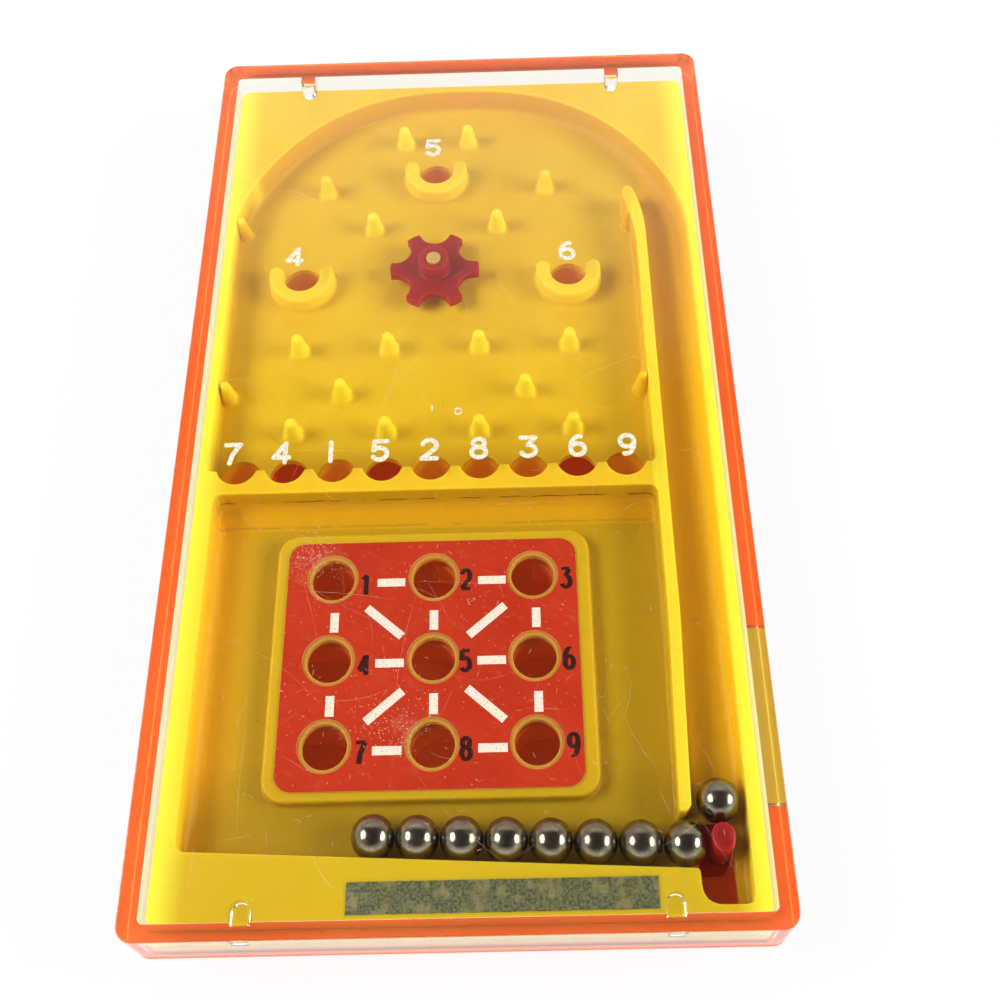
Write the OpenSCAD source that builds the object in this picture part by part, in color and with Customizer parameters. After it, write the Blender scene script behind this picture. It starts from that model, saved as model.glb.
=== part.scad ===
// Pocket pinball game with a three by three target board, for steel balls.
// A clear lid closes a yellow playing tray, which lies on a red base with nine ball channels.
// +Z is up, +Y points to the arched end, and the origin is the middle of the underside.

/* [Case] */
// outside width of the clear lid
case_w = 69; // [69:0.5:73]
// outside length of the clear lid
case_l = 120; // [120:0.5:126]
// outside corner radius of the lid
corner_r = 1.8; // [1.5:0.1:3.5]
// thickness of the lid's window
window_t = 1.5; // [1.2:0.1:2]
// thickness of the lid's side walls
lid_wall = 1.9; // [1.7:0.05:1.9]
// free height between the tray's rim and the window
head_room = 2.7; // [2.2:0.1:3.5]

/* [Base] */
// thickness of the base's floor
base_floor = 1.2; // [1:0.1:1.8]
// height of the ball channels
channel_h = 5.2; // [5.2:0.1:6]
// width of the ball channels
channel_w = 5.2; // [5:0.05:5.3]
// thickness of the ribs between the channels
rib_t = 0.85; // [0.6:0.05:0.85]
// thickness of the base's outer wall
base_wall = 1.7; // [1.7:0.05:1.8]

/* [Tray] */
// thickness of the tray's floor
tray_t = 1; // [0.8:0.1:1.2]
// depth of the playing field below the tray's rim
field_depth = 3.9; // [3.7:0.1:4.2]
// height of the block that carries the target label
block_h = 1.6; // [1.3:0.1:1.9]
// width of the wall between the field and the ball lane
lane_wall = 1.35; // [1.2:0.05:1.5]
// radius of the rounded foot along the lane's outer wall
lane_fillet = 2.4; // [1.5:0.1:2.4]

/* [Holes] */
// diameter of the scoring holes and of the target holes
hole_d = 5.1; // [5:0.05:5.2]
// width of the field that the nine scoring holes leave over
row_margin = 1.1; // [0.8:0.1:1.2]
// outside diameter of the three cups
cup_d = 8.8; // [8.2:0.1:9.2]
// height of the three cups
cup_h = 2.6; // [2:0.1:3]

/* [Pins] */
// foot diameter of the pins
pin_foot = 2.75; // [2.2:0.05:3]
// tip diameter of the pins
pin_tip = 1.2; // [0.8:0.1:1.6]
// height of the pins
pin_h = 3.7; // [3:0.1:4.2]

/* [Spinner] */
// diameter over the spinner's teeth
spinner_d = 12.2; // [11:0.1:12.6]
// thickness of the spinner's star
spinner_t = 1.4; // [1:0.1:1.8]
// diameter of the spinner's hub
hub_d = 4.1; // [3.6:0.1:4.6]
// height of the hub above the star
hub_h = 2.3; // [1.6:0.1:2.6]
// diameter of the spinner's axle
axle_d = 2; // [1.6:0.1:2.4]
// gap between the axle and the hub's bore
axle_gap = 0.08; // [0.03:0.01:0.1]

/* [Balls] */
// diameter of the steel balls
ball_d = 4.76; // [4.5:0.01:4.77]

/* [Plunger] */
// how far the plunger is drawn back
stroke = 3.6; // [2.5:0.1:3.6]
// width of the plunger's post
post_w = 2.5; // [2:0.1:2.7]
// length of the plunger's post
post_l = 3.1; // [2.8:0.1:3.4]
// gap between the plunger and its guides
slide_gap = 0.2; // [0.15:0.05:0.3]

/* [Label] */
// thickness of the printed target label
label_t = 0.2; // [0.1:0.05:0.3]
// diameter of the label's holes
label_hole = 6.1; // [5.8:0.1:6.3]

/* [Hidden] */
$fn = 64;

// levels, counted from the underside
rib_top = base_floor + channel_h;
floor_z = rib_top + tray_t;
rim_z = floor_z + field_depth;
window_z = rim_z + head_room;
top_z = window_z + window_t;
flange_z = floor_z + 0.3;
block_z = floor_z + block_h;

// outlines, as half widths
lid_in_x = case_w/2 - lid_wall;
lid_in_y = case_l/2 - lid_wall;
tray_x = lid_in_x - 0.15;
tray_y = lid_in_y - 0.15;
flange_x = case_w/2 - 0.35;
flange_y = case_l/2 - 0.35;
tub_x = lid_in_x - 0.6;
tub_y = lid_in_y - 0.6;

// ends of the tray, from which the pieces along it are placed
near = -tray_y;
far = tray_y;

// the playing field is laid out on its own middle line
mid_x = -3.55;
field_l = 1.15 - tray_x;
field_r = tray_x - 1.05;
lane_x = field_r - 5.8;
ledge_back = -5.3;
ledge_front = -8.5;
hole_y = -4.55;
spinner_y = far - 32.15;
star_z = floor_z + 1.2;
hub_top = star_z + spinner_t + hub_h;

// free pins: offset to each side of the middle line, and place along the field
pin_rows = [[4.6, far - 8], [15.6, far - 16.8], [8.65, far - 23.7], [6, 14.25],
            [18, 14.25], [12, 7.3], [6, 1.5], [18, 1.5]];
// pins that lean on a wall
wall_pins = [[field_l + 0.6, far - 23.85], [field_l + 0.9, 7.3],
             [lane_x - 1.8, far - 23.85], [lane_x - 1.9, 7.3]];

// the row of scoring holes shares the width of the field, counted from its middle
hole_pitch = (lane_x - lane_wall - field_l - row_margin)/9;
function row_x(k) = mid_x + k*hole_pitch;

// cups: places of their holes
cups = [[mid_x, far - 14.55], [row_x(-3) - 0.15, far - 32.65], [row_x(3) + 0.15, far - 32.75]];
// target holes: the outer rows keep to the ledge and to the near end
target_x = [-15.2, -3.1, 8.65];
target_back = ledge_front - 10.6;
target_near = near + 18.95;
target_y = [target_back, (target_back + target_near)/2 - 0.05, target_near];
// sides and ends of the raised block under the label
block_l = target_x[0] - 6.8;
block_r = target_x[2] + 6.85;
block_near = target_y[2] - 6;
block_back = target_y[0] + 5.85;

// ball channels in the base, each from its hole in the row to its hole in the target
routes = [
    [[row_x(-2), hole_y], [row_x(-2), target_y[0]], [target_x[0], target_y[0]]],
    [[row_x(0), hole_y], [row_x(0), target_y[0]], [target_x[1], target_y[0]]],
    [[row_x(2), hole_y], [row_x(2), target_y[0]], [target_x[2], target_y[0]]],
    [[row_x(-3), cups[1][1]], [row_x(-3), target_y[1]], [target_x[0], target_y[1]]],
    [[mid_x, cups[0][1]], [mid_x, 28 + hole_pitch], [row_x(-1), 28], [row_x(-1), target_y[1]],
     [target_x[1], target_y[1]]],
    [[row_x(3), cups[2][1]], [row_x(3), target_y[1]], [target_x[2], target_y[1]]],
    [[row_x(-4), hole_y], [row_x(-4), target_y[2]], [target_x[0], target_y[2]]],
    [[row_x(1), hole_y], [row_x(1), target_y[2]], [target_x[1], target_y[2]]],
    [[row_x(4), hole_y], [row_x(4), target_y[2]], [target_x[2], target_y[2]]]
];

// plunger
post_x = field_r - 3.4;
post_y = near + 7.75;
pad_z0 = base_floor - 0.4;
pad_z1 = rib_top - 1.4;
bar_l = post_x - 2.1;
bar_r = tub_x - base_wall - slide_gap;
bar_front = post_y - post_l/2 - 0.25;
bar_back = post_y + 20.7;
pad_front = post_y + 6.2;
pad_back = post_y + 17.2;
anchor_y = post_y + 4.4;
coil_y = post_y + 16.7;
coil_x = post_x - 0.2;
coil_z = base_floor + 2;

// balls in the pocket lie in a row along the slanting ledge
row_first = [post_x - 37.3, near + 8.92];
row_step = [4.774, -0.193];
lane_ball = [post_x, post_y + 4.23];

// a flattened arch: its height above the field at a distance x from the middle
function arch_y(x) = 7 + (far - 7.95)*pow(1 - pow(abs(x + 0.1)/(field_r + 3.9), 2.4), 1/2.4);

// a flat plate with round corners, from half widths
module plate(x, y, r, z0, z1) {
    translate([0, 0, z0])
        linear_extrude(z1 - z0)
            rounded(-x, x, -y, y, r);
}

// a rectangle with round corners
module rounded(x0, x1, y0, y1, r) {
    translate([x0, y0 + r]) square([x1 - x0, y1 - y0 - 2*r]);
    translate([x0 + r, y0]) square([x1 - x0 - 2*r, y1 - y0]);
    for (x = [x0 + r, x1 - r], y = [y0 + r, y1 - r])
        translate([x, y]) circle(r = r);
}

// a straight stretch of channel between two points
module run(p, q, w) {
    d = q - p;
    translate([p[0], p[1]])
        rotate(atan2(d[1], d[0]))
            translate([0, -w/2])
                square([norm(d), w]);
}

// a whole channel with round ends and bends
module route(points, w) {
    for (i = [0:len(points) - 2])
        run(points[i], points[i + 1], w);
    for (p = points)
        translate([p[0], p[1]]) circle(d = w);
}

// a block from corner to corner
module block(x0, x1, y0, y1, z0, z1) {
    translate([x0, y0, z0])
        cube([x1 - x0, y1 - y0, z1 - z0]);
}

// red tub with the ball channels, a flange under the lid's wall and a slot for the thumb pad
module base() {
    color([0.84, 0.22, 0.12])
    difference() {
        union() {
            difference() {
                union() {
                    plate(tub_x, tub_y, 3, 0, rib_top);
                    plate(tub_x + 1.2, tub_y + 1.2, 2, rib_top - 1.2, flange_z - 1.2);
                    plate(flange_x, flange_y, corner_r, flange_z - 1.2, flange_z);
                }
                plate(tub_x - base_wall, tub_y - base_wall, 1.5, base_floor, rib_top + 1);
                plate(tray_x + 0.15, tray_y + 0.15, 1.15, rib_top, flange_z + 1);
            }
            difference() {
                translate([0, 0, base_floor - 0.2])
                    linear_extrude(channel_h + 0.2)
                        for (r = routes)
                            route(r, channel_w + 2*rib_t);
                translate([0, 0, base_floor])
                    linear_extrude(channel_h + 1)
                        for (r = routes)
                            route(r, channel_w);
            }
            // guide rib of the plunger, with its end stop
            block(bar_l - slide_gap - 0.8, bar_l - slide_gap, near + 1.75, bar_back + 2.5,
                  base_floor - 0.2, rib_top);
            block(bar_l - slide_gap - 0.8, tub_x - 1, bar_back + 0.3, bar_back + 1.3,
                  base_floor - 0.2, rib_top);
            // post that holds the fixed end of the spring
            block(coil_x - 0.7, coil_x + 0.7, anchor_y, anchor_y + 1, base_floor - 0.2, base_floor + 3.2);
        }
        block(tub_x - base_wall - 1, case_w/2 + 1, pad_front - stroke - 0.4, pad_back + 0.4,
              base_floor + 0.3, rib_top - 0.9);
        block(tub_x + 0.2, case_w/2 + 1, post_y + 3.1, post_y + 24.2, rib_top - 1.3, flange_z + 1);
    }
}

// yellow tray: field, ball lane, pocket, holes, cups and pins in one moulding
module tray() {
    color([0.93, 0.74, 0.13])
    difference() {
        union() {
            difference() {
                union() {
                    plate(tray_x, tray_y, 1, rib_top, rim_z);
                    block(tray_x - 1, flange_x, post_y + 3.8, post_y + 23.5, rib_top, flange_z);
                }
                // field and lane under the arch
                translate([0, 0, floor_z])
                    linear_extrude(field_depth + 1)
                        field_outline(0);
                // pocket, its way out and the foot of the lane
                translate([0, 0, floor_z])
                    linear_extrude(field_depth + 1)
                        pocket_outline();
                // hollows under the two corners of the arch
                translate([0, 0, rib_top - 1])
                    linear_extrude(field_depth + tray_t)
                        difference() {
                            rounded(1.3 - tray_x, tray_x - 1.3, far - 37.95, far - 1.3, 1);
                            field_outline(1.2);
                        }
                // hollow under the slanting ledge
                translate([0, 0, rib_top - 1])
                    linear_extrude(field_depth + tray_t)
                        polygon([[1.25 - tray_x, near + 1.15], [lane_x - 1.6, near + 1.15],
                                 [lane_x - 1.6, near + 3.55], [1.25 - tray_x, near + 6.3]]);
                // slot for the plunger's post
                block(lane_x - 0.2, post_x + post_w/2 + slide_gap, near + 1.55, near + 10.35,
                      rib_top - 1, floor_z + 1);
            }
            // wall between the field and the lane
            translate([0, 0, floor_z - 0.2])
                linear_extrude(field_depth + 0.2)
                    lane_wall_outline();
            // rounded foot of the lane's outer wall
            difference() {
                block(field_r - lane_fillet, field_r + 0.4, near + 12.95, far - 27.95,
                      floor_z - 0.2, floor_z + lane_fillet);
                translate([field_r - lane_fillet, near + 11.95, floor_z + lane_fillet])
                    rotate([-90, 0, 0])
                        cylinder(r = lane_fillet, h = tray_y + 22.05);
            }
            // ledge that the scoring holes are cut into
            block(field_l - 0.3, lane_x - 1, ledge_front, ledge_back, floor_z - 0.2, rim_z);
            // raised block under the target label
            translate([0, 0, floor_z - 0.2])
                linear_extrude(block_h + 0.2)
                    rounded(block_l, block_r, block_near, block_back, 2.5);
            // boss that the spinner turns on
            translate([mid_x, spinner_y, floor_z - 0.2])
                cylinder(d = hub_d - 0.8, h = 1.3);
            for (c = cups)
                translate([c[0], c[1], floor_z - 0.2])
                    cup();
            for (r = pin_rows, s = [-1, 1])
                translate([mid_x + s*r[0], r[1], floor_z - 0.1])
                    pin();
            for (p = wall_pins)
                translate([p[0], p[1], floor_z - 0.1])
                    pin();
        }
        // the block is hollow underneath
        translate([0, 0, rib_top - 1])
            linear_extrude(block_h + 1)
                rounded(block_l + 1.2, block_r - 1.2, block_near + 1.2, block_back - 1.2, 1.5);
        // scoring holes, cup holes and target holes
        for (k = [-4:4])
            translate([row_x(k), hole_y, rib_top - 1])
                cylinder(d = hole_d, h = 8);
        for (c = cups)
            translate([c[0], c[1], rib_top - 1])
                cylinder(d = hole_d, h = 8);
        for (x = target_x, y = target_y)
            translate([x, y, rib_top - 1])
                cylinder(d = hole_d, h = 8);
        // seat of the spinner's axle
        translate([mid_x, spinner_y, rib_top - 1])
            cylinder(d = axle_d, h = 6);
    }
}

// outline of the field and the lane, grown by a margin
module field_outline(grow) {
    steps = 28;
    x0 = field_l - grow;
    x1 = field_r + grow;
    polygon(concat(
        [[x0, -6], [x0, far - 37.95]],
        [for (i = [0:steps]) let (x = field_l + (field_r - field_l)*i/steps)
            [x + grow*(2*i/steps - 1), arch_y(x) + grow]],
        [[x1, far - 37.95], [x1 - 0.5, near + 11.95], [lane_x - 1.3, near + 11.95], [lane_x - 1.3, -6]]));
}

// outline of the pocket, open to the foot of the lane
module pocket_outline() {
    polygon([[field_l + 1, -8], [field_l + 1.1, near + 7.54], [lane_x - 0.3, near + 4.8],
             [lane_x - 0.3, near + 2.55], [lane_x + 1.1, near + 1.2], [field_r - 0.7, near + 1.2],
             [field_r - 0.5, near + 12.05], [lane_x - 1.4, near + 12.05], [lane_x - 1.2, -8]]);
}

// outline of the wall between the field and the lane, with its bent upper end
module lane_wall_outline() {
    x = lane_x;
    y = far - 27.95;
    polygon([[x, y], [x, -25], [x - 0.65, near + 11.15], [x - 1.3, near + 10.55], [x - 2, near + 10.55],
             [x - lane_wall, -25], [x - lane_wall, y - 1], [x - 1.7, y + 2], [x - 2.2, y + 4.5],
             [x - 2.8, y + 6.8], [x - 2.7, y + 7.9], [x - 2.1, y + 8.3], [x - 1.5, y + 8],
             [x - 0.9, y + 6.5], [x - 0.4, y + 4.3], [x - 0.1, y + 2.2]]);
}

// a cup round a hole, open towards the arch
module cup() {
    difference() {
        union() {
            difference() {
                cylinder(d = cup_d, h = cup_h + 0.2);
                block(-6, 6, 1.1, 6, -1, cup_h + 1);
            }
            for (s = [-1, 1])
                translate([s*(cup_d + hole_d)/4*cos(18), 1.1, 0])
                    cylinder(d = (cup_d - hole_d)/2 - 0.05, h = cup_h + 0.2);
        }
        translate([0, 0, -1])
            cylinder(d = hole_d, h = cup_h + 2);
    }
}

// one cone pin
module pin() {
    cylinder(d1 = pin_foot, d2 = pin_tip, h = pin_h + 0.1);
}

// clear lid with four lugs that hold the tray down
module cover() {
    color([0.9, 0.95, 1, 0.3]) {
        difference() {
            plate(case_w/2, case_l/2, corner_r, flange_z + 0.05, top_z);
            plate(lid_in_x, lid_in_y, 1.1, flange_z - 1, window_z);
        }
        for (x = [12.2 - case_w/2, case_w/2 - 12.2], s = [-1, 1])
            translate([x, s*lid_in_y, rim_z]) {
                translate([0, -s*1.2, 0])
                    cylinder(d = 2, h = head_room + 0.1);
                block(-1, 1, -0.45 - s*0.75 - 0.3, 0.45 - s*0.75 + 0.3, 0, head_room + 0.1);
            }
    }
}

// thin printed sheet with nine holes
module target_label() {
    color([0.8, 0.2, 0.09])
    difference() {
        translate([0, 0, block_z])
            linear_extrude(label_t)
                rounded(block_l + 1.4, block_r - 1.6, block_near + 1, block_back - 1.2, 2);
        for (x = target_x, y = target_y)
            translate([x, y, block_z - 1])
                cylinder(d = label_hole, h = 3);
    }
}

// worn foil strip on the slanting ledge
module foil_strip() {
    color([0.55, 0.54, 0.4])
        block(lane_x - 37.4, lane_x - 4.7, near + 0.8, near + 4.15, rim_z, rim_z + 0.1);
}

// six-toothed star that turns on an axle
module spinner() {
    color([0.66, 0.2, 0.16])
    difference() {
        union() {
            translate([mid_x, spinner_y, star_z])
                difference() {
                    cylinder(d = spinner_d, h = spinner_t);
                    for (a = [30:60:330])
                        rotate(a)
                            translate([spinner_d/2 + 0.15, 0, -1])
                                cylinder(r = 2.15, h = spinner_t + 2);
                }
            translate([mid_x, spinner_y, star_z])
                cylinder(d = hub_d, h = spinner_t + hub_h);
        }
        translate([mid_x, spinner_y, star_z - 2])
            cylinder(d = axle_d + 2*axle_gap, h = 10);
    }
}

// axle pressed into the tray
module spinner_axle() {
    color([0.85, 0.78, 0.6])
        translate([mid_x, spinner_y, rib_top])
            cylinder(d = axle_d, h = hub_top + 0.15 - rib_top);
}

// red slider under the tray, with the post that strikes the ball and the thumb pad outside
module plunger() {
    r = post_w/2;
    color([0.72, 0.15, 0.12]) {
        difference() {
            union() {
                block(bar_l, bar_r, bar_front, bar_back, base_floor + 0.2, rib_top - 0.3);
                block(bar_r - 0.5, tub_x + 0.4, pad_front, pad_back, base_floor + 0.6, rib_top - 1.2);
                block(tub_x + 0.3, flange_x - 0.05, pad_front, pad_back, pad_z0, pad_z1);
                for (i = [0:5])
                    translate([flange_x - 0.05, pad_front + 1.75 + 1.5*i, pad_z0])
                        cylinder(d = 0.6, h = pad_z1 - pad_z0);
            }
            // front corner, cut back to pass the tub's round corner when the plunger is drawn
            block(bar_r - 1, bar_r + 1, bar_front - 1, bar_front + 1.3, base_floor, rib_top);
            // pocket for the spring and the base's post
            block(coil_x - 1, coil_x + 1, anchor_y - 0.3, coil_y, base_floor - 1, base_floor + 3.5);
        }
        translate([post_x, post_y, rib_top - 0.5]) {
            for (s = [-1, 1])
                translate([0, s*(post_l/2 - r), 0])
                    cylinder(r = r, h = 6);
            block(-r, r, r - post_l/2, post_l/2 - r, 0, 6);
        }
    }
}

// points of one ring of the spring's wire, at a turn angle along the coil
function coil_ring(a, turns, length, radius, wire) =
    let (y = anchor_y + 1.25 + (length - 0.5)*a/360/turns)
    [for (b = [0:60:300])
        [coil_x + (radius + wire/2*cos(b))*cos(a), y + wire/2*sin(b),
         coil_z + (radius + wire/2*cos(b))*sin(a)]];

// return spring in the plunger's pocket, one unbroken wire
module plunger_spring() {
    turns = 8;
    length = coil_y - anchor_y - 1;
    steps = turns*14;
    sides = 6;
    radius = 0.72;
    wire = 0.34;
    points = [for (i = [0:steps]) each coil_ring(i*360/14, turns, length, radius, wire)];
    faces = concat(
        [[for (j = [0:sides - 1]) j]],
        [for (i = [0:steps - 1], j = [0:sides - 1])
            [i*sides + j, (i + 1)*sides + j, (i + 1)*sides + (j + 1)%sides, i*sides + (j + 1)%sides]],
        [[for (j = [sides - 1:-1:0]) steps*sides + j]]);
    echo(least_gap_between_turns = (length - 0.5)/turns - wire);
    color([0.7, 0.7, 0.72])
        polyhedron(points, faces, convexity = 10);
}

// one steel ball, lying just above the floor
module ball(x, y) {
    color([0.6, 0.6, 0.6])
        translate([x, y, floor_z + ball_d/2 + 0.03])
            sphere(d = ball_d);
}

base();
tray();
cover();
target_label();
foil_strip();
spinner();
spinner_axle();
plunger();
plunger_spring();
ball(row_first[0], row_first[1]);  // ball_1
ball(row_first[0] + row_step[0], row_first[1] + row_step[1]);  // ball_2
ball(row_first[0] + 2*row_step[0], row_first[1] + 2*row_step[1]);  // ball_3
ball(row_first[0] + 3*row_step[0], row_first[1] + 3*row_step[1]);  // ball_4
ball(row_first[0] + 4*row_step[0], row_first[1] + 4*row_step[1]);  // ball_5
ball(row_first[0] + 5*row_step[0], row_first[1] + 5*row_step[1]);  // ball_6
ball(row_first[0] + 6*row_step[0], row_first[1] + 6*row_step[1]);  // ball_7
ball(row_first[0] + 7*row_step[0], row_first[1] + 7*row_step[1]);  // ball_8
ball(lane_ball[0], lane_ball[1]);  // ball_9
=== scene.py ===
# %% [markdown]
# # A pocket pinball game in its clear lid
#
# The object is a flat game for one hand, about 69 by 120 by 15.5 mm. A clear lid closes a yellow tray
# with pins, cups, a ball lane and a target board, and a red base carries both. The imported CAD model
# comes in first. It stays as it is and tells every later cell where things are.

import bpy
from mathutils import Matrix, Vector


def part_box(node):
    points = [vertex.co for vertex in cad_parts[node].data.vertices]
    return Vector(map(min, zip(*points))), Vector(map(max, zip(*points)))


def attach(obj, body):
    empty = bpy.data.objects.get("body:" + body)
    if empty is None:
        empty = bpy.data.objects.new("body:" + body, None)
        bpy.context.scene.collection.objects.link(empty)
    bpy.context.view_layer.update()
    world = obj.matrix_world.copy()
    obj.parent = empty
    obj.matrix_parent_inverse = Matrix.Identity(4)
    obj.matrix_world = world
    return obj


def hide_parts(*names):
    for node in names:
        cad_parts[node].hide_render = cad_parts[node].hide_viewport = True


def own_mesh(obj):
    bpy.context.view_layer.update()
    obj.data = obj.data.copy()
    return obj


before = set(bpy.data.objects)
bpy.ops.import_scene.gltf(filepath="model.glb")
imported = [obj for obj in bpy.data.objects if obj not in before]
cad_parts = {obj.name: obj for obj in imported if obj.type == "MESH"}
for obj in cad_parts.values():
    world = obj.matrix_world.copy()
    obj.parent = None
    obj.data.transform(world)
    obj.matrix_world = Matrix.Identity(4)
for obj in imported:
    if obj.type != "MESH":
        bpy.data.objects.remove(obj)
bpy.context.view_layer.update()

# %% [markdown]
# ## Sizes
#
# The script thinks in millimetres and turns them into metres only when a mesh is made. Overall sizes
# and heights are read off the frame, so a change in the CAD carries over to the looks. Sizes that no
# box can tell, such as the width of a wall inside a moulding, are named here once.

# %% Read the driving sizes off the frame
import math

import bpy
import numpy as np
from mathutils import Matrix, Vector
from mathutils.geometry import delaunay_2d_cdt

MM = 0.001


def span(node):
    """Lowest and highest corner of a CAD node, in millimetres."""
    low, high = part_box(node)
    return np.array(low)/MM, np.array(high)/MM


LID_FOOT, TOP = span("cover")[0][2], span("cover")[1][2]
CASE_X, CASE_Y = span("cover")[1][:2]
TRAY_FOOT = span("tray")[0][2]
TRAY_X, TRAY_Y = -span("tray")[0][0], span("tray")[1][1]
RIM = span("foil_strip")[0][2]
BLOCK_TOP, LABEL_TOP = span("target_label")[0][2], span("target_label")[1][2]
HUB_TOP = span("spinner")[1][2]
STAR_FOOT = span("spinner")[0][2]
FLANGE_X = -span("base")[0][0]
FLANGE_TOP = span("base")[1][2]

# Faces that would share a plane are kept a hair apart, at the bond under the lid and at the case's sides.
BOND = LID_FOOT + 0.003
EDGE_X, EDGE_Y = CASE_X - 0.002, CASE_Y - 0.002

WINDOW_THICK = 1.5
LID_WALL = 1.9
FIELD_DEPTH = 3.9
FLOOR = RIM - FIELD_DEPTH
WINDOW_FOOT = TOP - WINDOW_THICK
NEAR, FAR = -TRAY_Y, TRAY_Y
print("lid", 2*CASE_X, "x", 2*CASE_Y, "mm, floor", FLOOR, "rim", RIM, "window", WINDOW_FOOT, "to", TOP)

# %% [markdown]
# The layout of the field is drawn from its middle line and its two ends, as on the real mould.

# %% Name the places on the playing field
MID_X = -3.55
FIELD_L, FIELD_R = 1.15 - TRAY_X, TRAY_X - 1.05
LANE_X, LANE_WALL = FIELD_R - 5.8, 1.35
LEDGE_BACK, LEDGE_FRONT = -5.3, -8.5
HOLE_R, HOLE_PITCH, HOLE_Y = 2.55, 6.05, -4.55
CUP_R, CUP_H = 4.4, 2.6
PIN_H = 3.88
SPINNER = np.array([MID_X, FAR - 32.15])
POST = np.array([FIELD_R - 3.4, NEAR + 7.75])
CUPS = np.array([[MID_X, FAR - 14.55], [MID_X - 18.3, FAR - 32.65], [MID_X + 18.3, FAR - 32.75]])
ROW_HOLES = np.column_stack([MID_X + HOLE_PITCH*np.arange(-4, 5), np.full(9, HOLE_Y)])
TARGET_X = np.array([-15.2, -3.1, 8.65])
TARGET_Y = np.array([LEDGE_FRONT - 10.6, -29.1, NEAR + 18.95])
TARGETS = np.array([[x, y] for y in TARGET_Y for x in TARGET_X])
PIN_ROWS = np.array([[4.6, FAR - 8], [15.6, FAR - 16.8], [8.65, FAR - 23.7], [6, 14.25],
                     [18, 14.25], [12, 7.3], [6, 1.5], [18, 1.5]])
PINS = np.concatenate([[MID_X, 0] + PIN_ROWS*[side, 1] for side in (-1, 1)])
WALL_PINS = np.array([[FIELD_L + 0.6, FAR - 23.85], [FIELD_L + 0.9, 7.3],
                      [LANE_X - 1.8, FAR - 23.85], [LANE_X - 1.9, 7.3]])
BLOCK = (TARGET_X[0] - 6.8, TARGET_X[2] + 6.85, TARGET_Y[2] - 6, TARGET_Y[0] + 5.85)
print(len(PINS) + len(WALL_PINS), "pins,", len(CUPS), "cups,", len(ROW_HOLES), "scoring holes,",
      len(TARGETS), "target holes")

# %% [markdown]
# ## A way to make moulded skins
#
# Everything in this object was moulded or pressed, so its walls are outlines carried up and down, with
# small rounds where faces meet. One helper gathers such rings of points and the faces between them. A
# flat face with islands and holes in it is filled by a Delaunay triangulation that keeps the rings as
# fixed edges. A ring that lies close to each round keeps the shading of the flat faces flat.

# %% Collect rings and faces in a skin


class Skin:
    """Rings of points and the faces between them, which become one mesh."""

    def __init__(self):
        self.points, self.faces, self.count = [], [], 0

    def ring(self, xy, z):
        """Keeps a closed ring of points at one height, or at a height for each point."""
        xyz = np.column_stack([xy, np.broadcast_to(z, len(xy))])
        self.points.append(xyz)
        self.count += len(xyz)
        return np.arange(self.count - len(xyz), self.count)

    def bridge(self, one, two):
        """Quads from ring to ring. They look along (way round the ring) x (way from one to two)."""
        quads = np.column_stack([one, np.roll(one, -1), np.roll(two, -1), two])
        self.faces += quads.tolist()

    def tower(self, rings):
        """Bridges every ring to the next one."""
        for one, two in zip(rings, rings[1:]):
            self.bridge(one, two)
        return rings

    def lid(self, ring, up=True):
        """One flat face over a small round ring."""
        self.faces.append(ring.tolist() if up else ring[::-1].tolist())

    def fill(self, rings, up=True):
        """Triangles over the area that lies inside an odd number of the rings.

        Where a ring crosses itself, the triangulation finds a new point, which joins the skin."""
        numbers = np.concatenate(rings)
        xy = np.concatenate(self.points)[numbers, :2]
        starts = np.cumsum([0] + [len(r) for r in rings[:-1]])
        edges = np.concatenate([np.column_stack([s + np.arange(len(r)), s + (np.arange(len(r)) + 1) % len(r)])
                                for s, r in zip(starts, rings)])
        made = delaunay_2d_cdt([Vector(p) for p in xy], edges.tolist(), [], 0, 1e-6)
        fresh = [point for point, sources in zip(made[0], made[3]) if not sources]
        if fresh:
            numbers = np.append(numbers, self.ring(np.array(fresh), self.points[-1][-1, 2]))
            xy = np.vstack([xy, fresh])
        order = iter(range(len(xy) - len(fresh), len(xy)))
        old = np.array([sources[0] if sources else next(order) for sources in made[3]])
        triangles = old[np.array(made[2])]
        middle = xy[triangles].mean(1)
        a, b = xy[edges[:, 0]], xy[edges[:, 1]]
        crossing = (a[:, 1] > middle[:, None, 1]) != (b[:, 1] > middle[:, None, 1])
        rise = np.where(b[:, 1] == a[:, 1], 1, b[:, 1] - a[:, 1])
        where = a[:, 0] + (middle[:, None, 1] - a[:, 1])/rise*(b[:, 0] - a[:, 0])
        inside = (crossing & (where > middle[:, None, 0])).sum(1) % 2 == 1
        kept = numbers[triangles[inside]]
        self.faces += (kept if up else kept[:, ::-1]).tolist()

    def mesh(self, name):
        """Turns the skin into an object at the origin, in metres, smooth except at sharp edges."""
        data = bpy.data.meshes.new(name)
        data.from_pydata(np.concatenate(self.points)*MM, [], self.faces)
        data.update()
        made = bpy.data.objects.new(name, data)
        bpy.context.scene.collection.objects.link(made)
        smooth(made)
        return made


def smooth(obj, degrees=32):
    """Smooth shading that breaks where two faces meet at more than this angle."""
    data = obj.data
    data.polygons.foreach_set("use_smooth", np.ones(len(data.polygons), bool))
    data.set_sharp_from_angle(angle=math.radians(degrees))


print("skins are ready")

# %% [markdown]
# Outlines are plain arrays of points, in order against the clock. Pushing one sideways moves each point
# along its mitre, so walls keep their thickness at corners.

# %% Draw and push outlines


def turned(angles, radius=1.0, middle=(0, 0)):
    """Points on a circle at these angles in degrees."""
    a = np.radians(angles)
    return np.asarray(middle) + radius*np.column_stack([np.cos(a), np.sin(a)])


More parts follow.
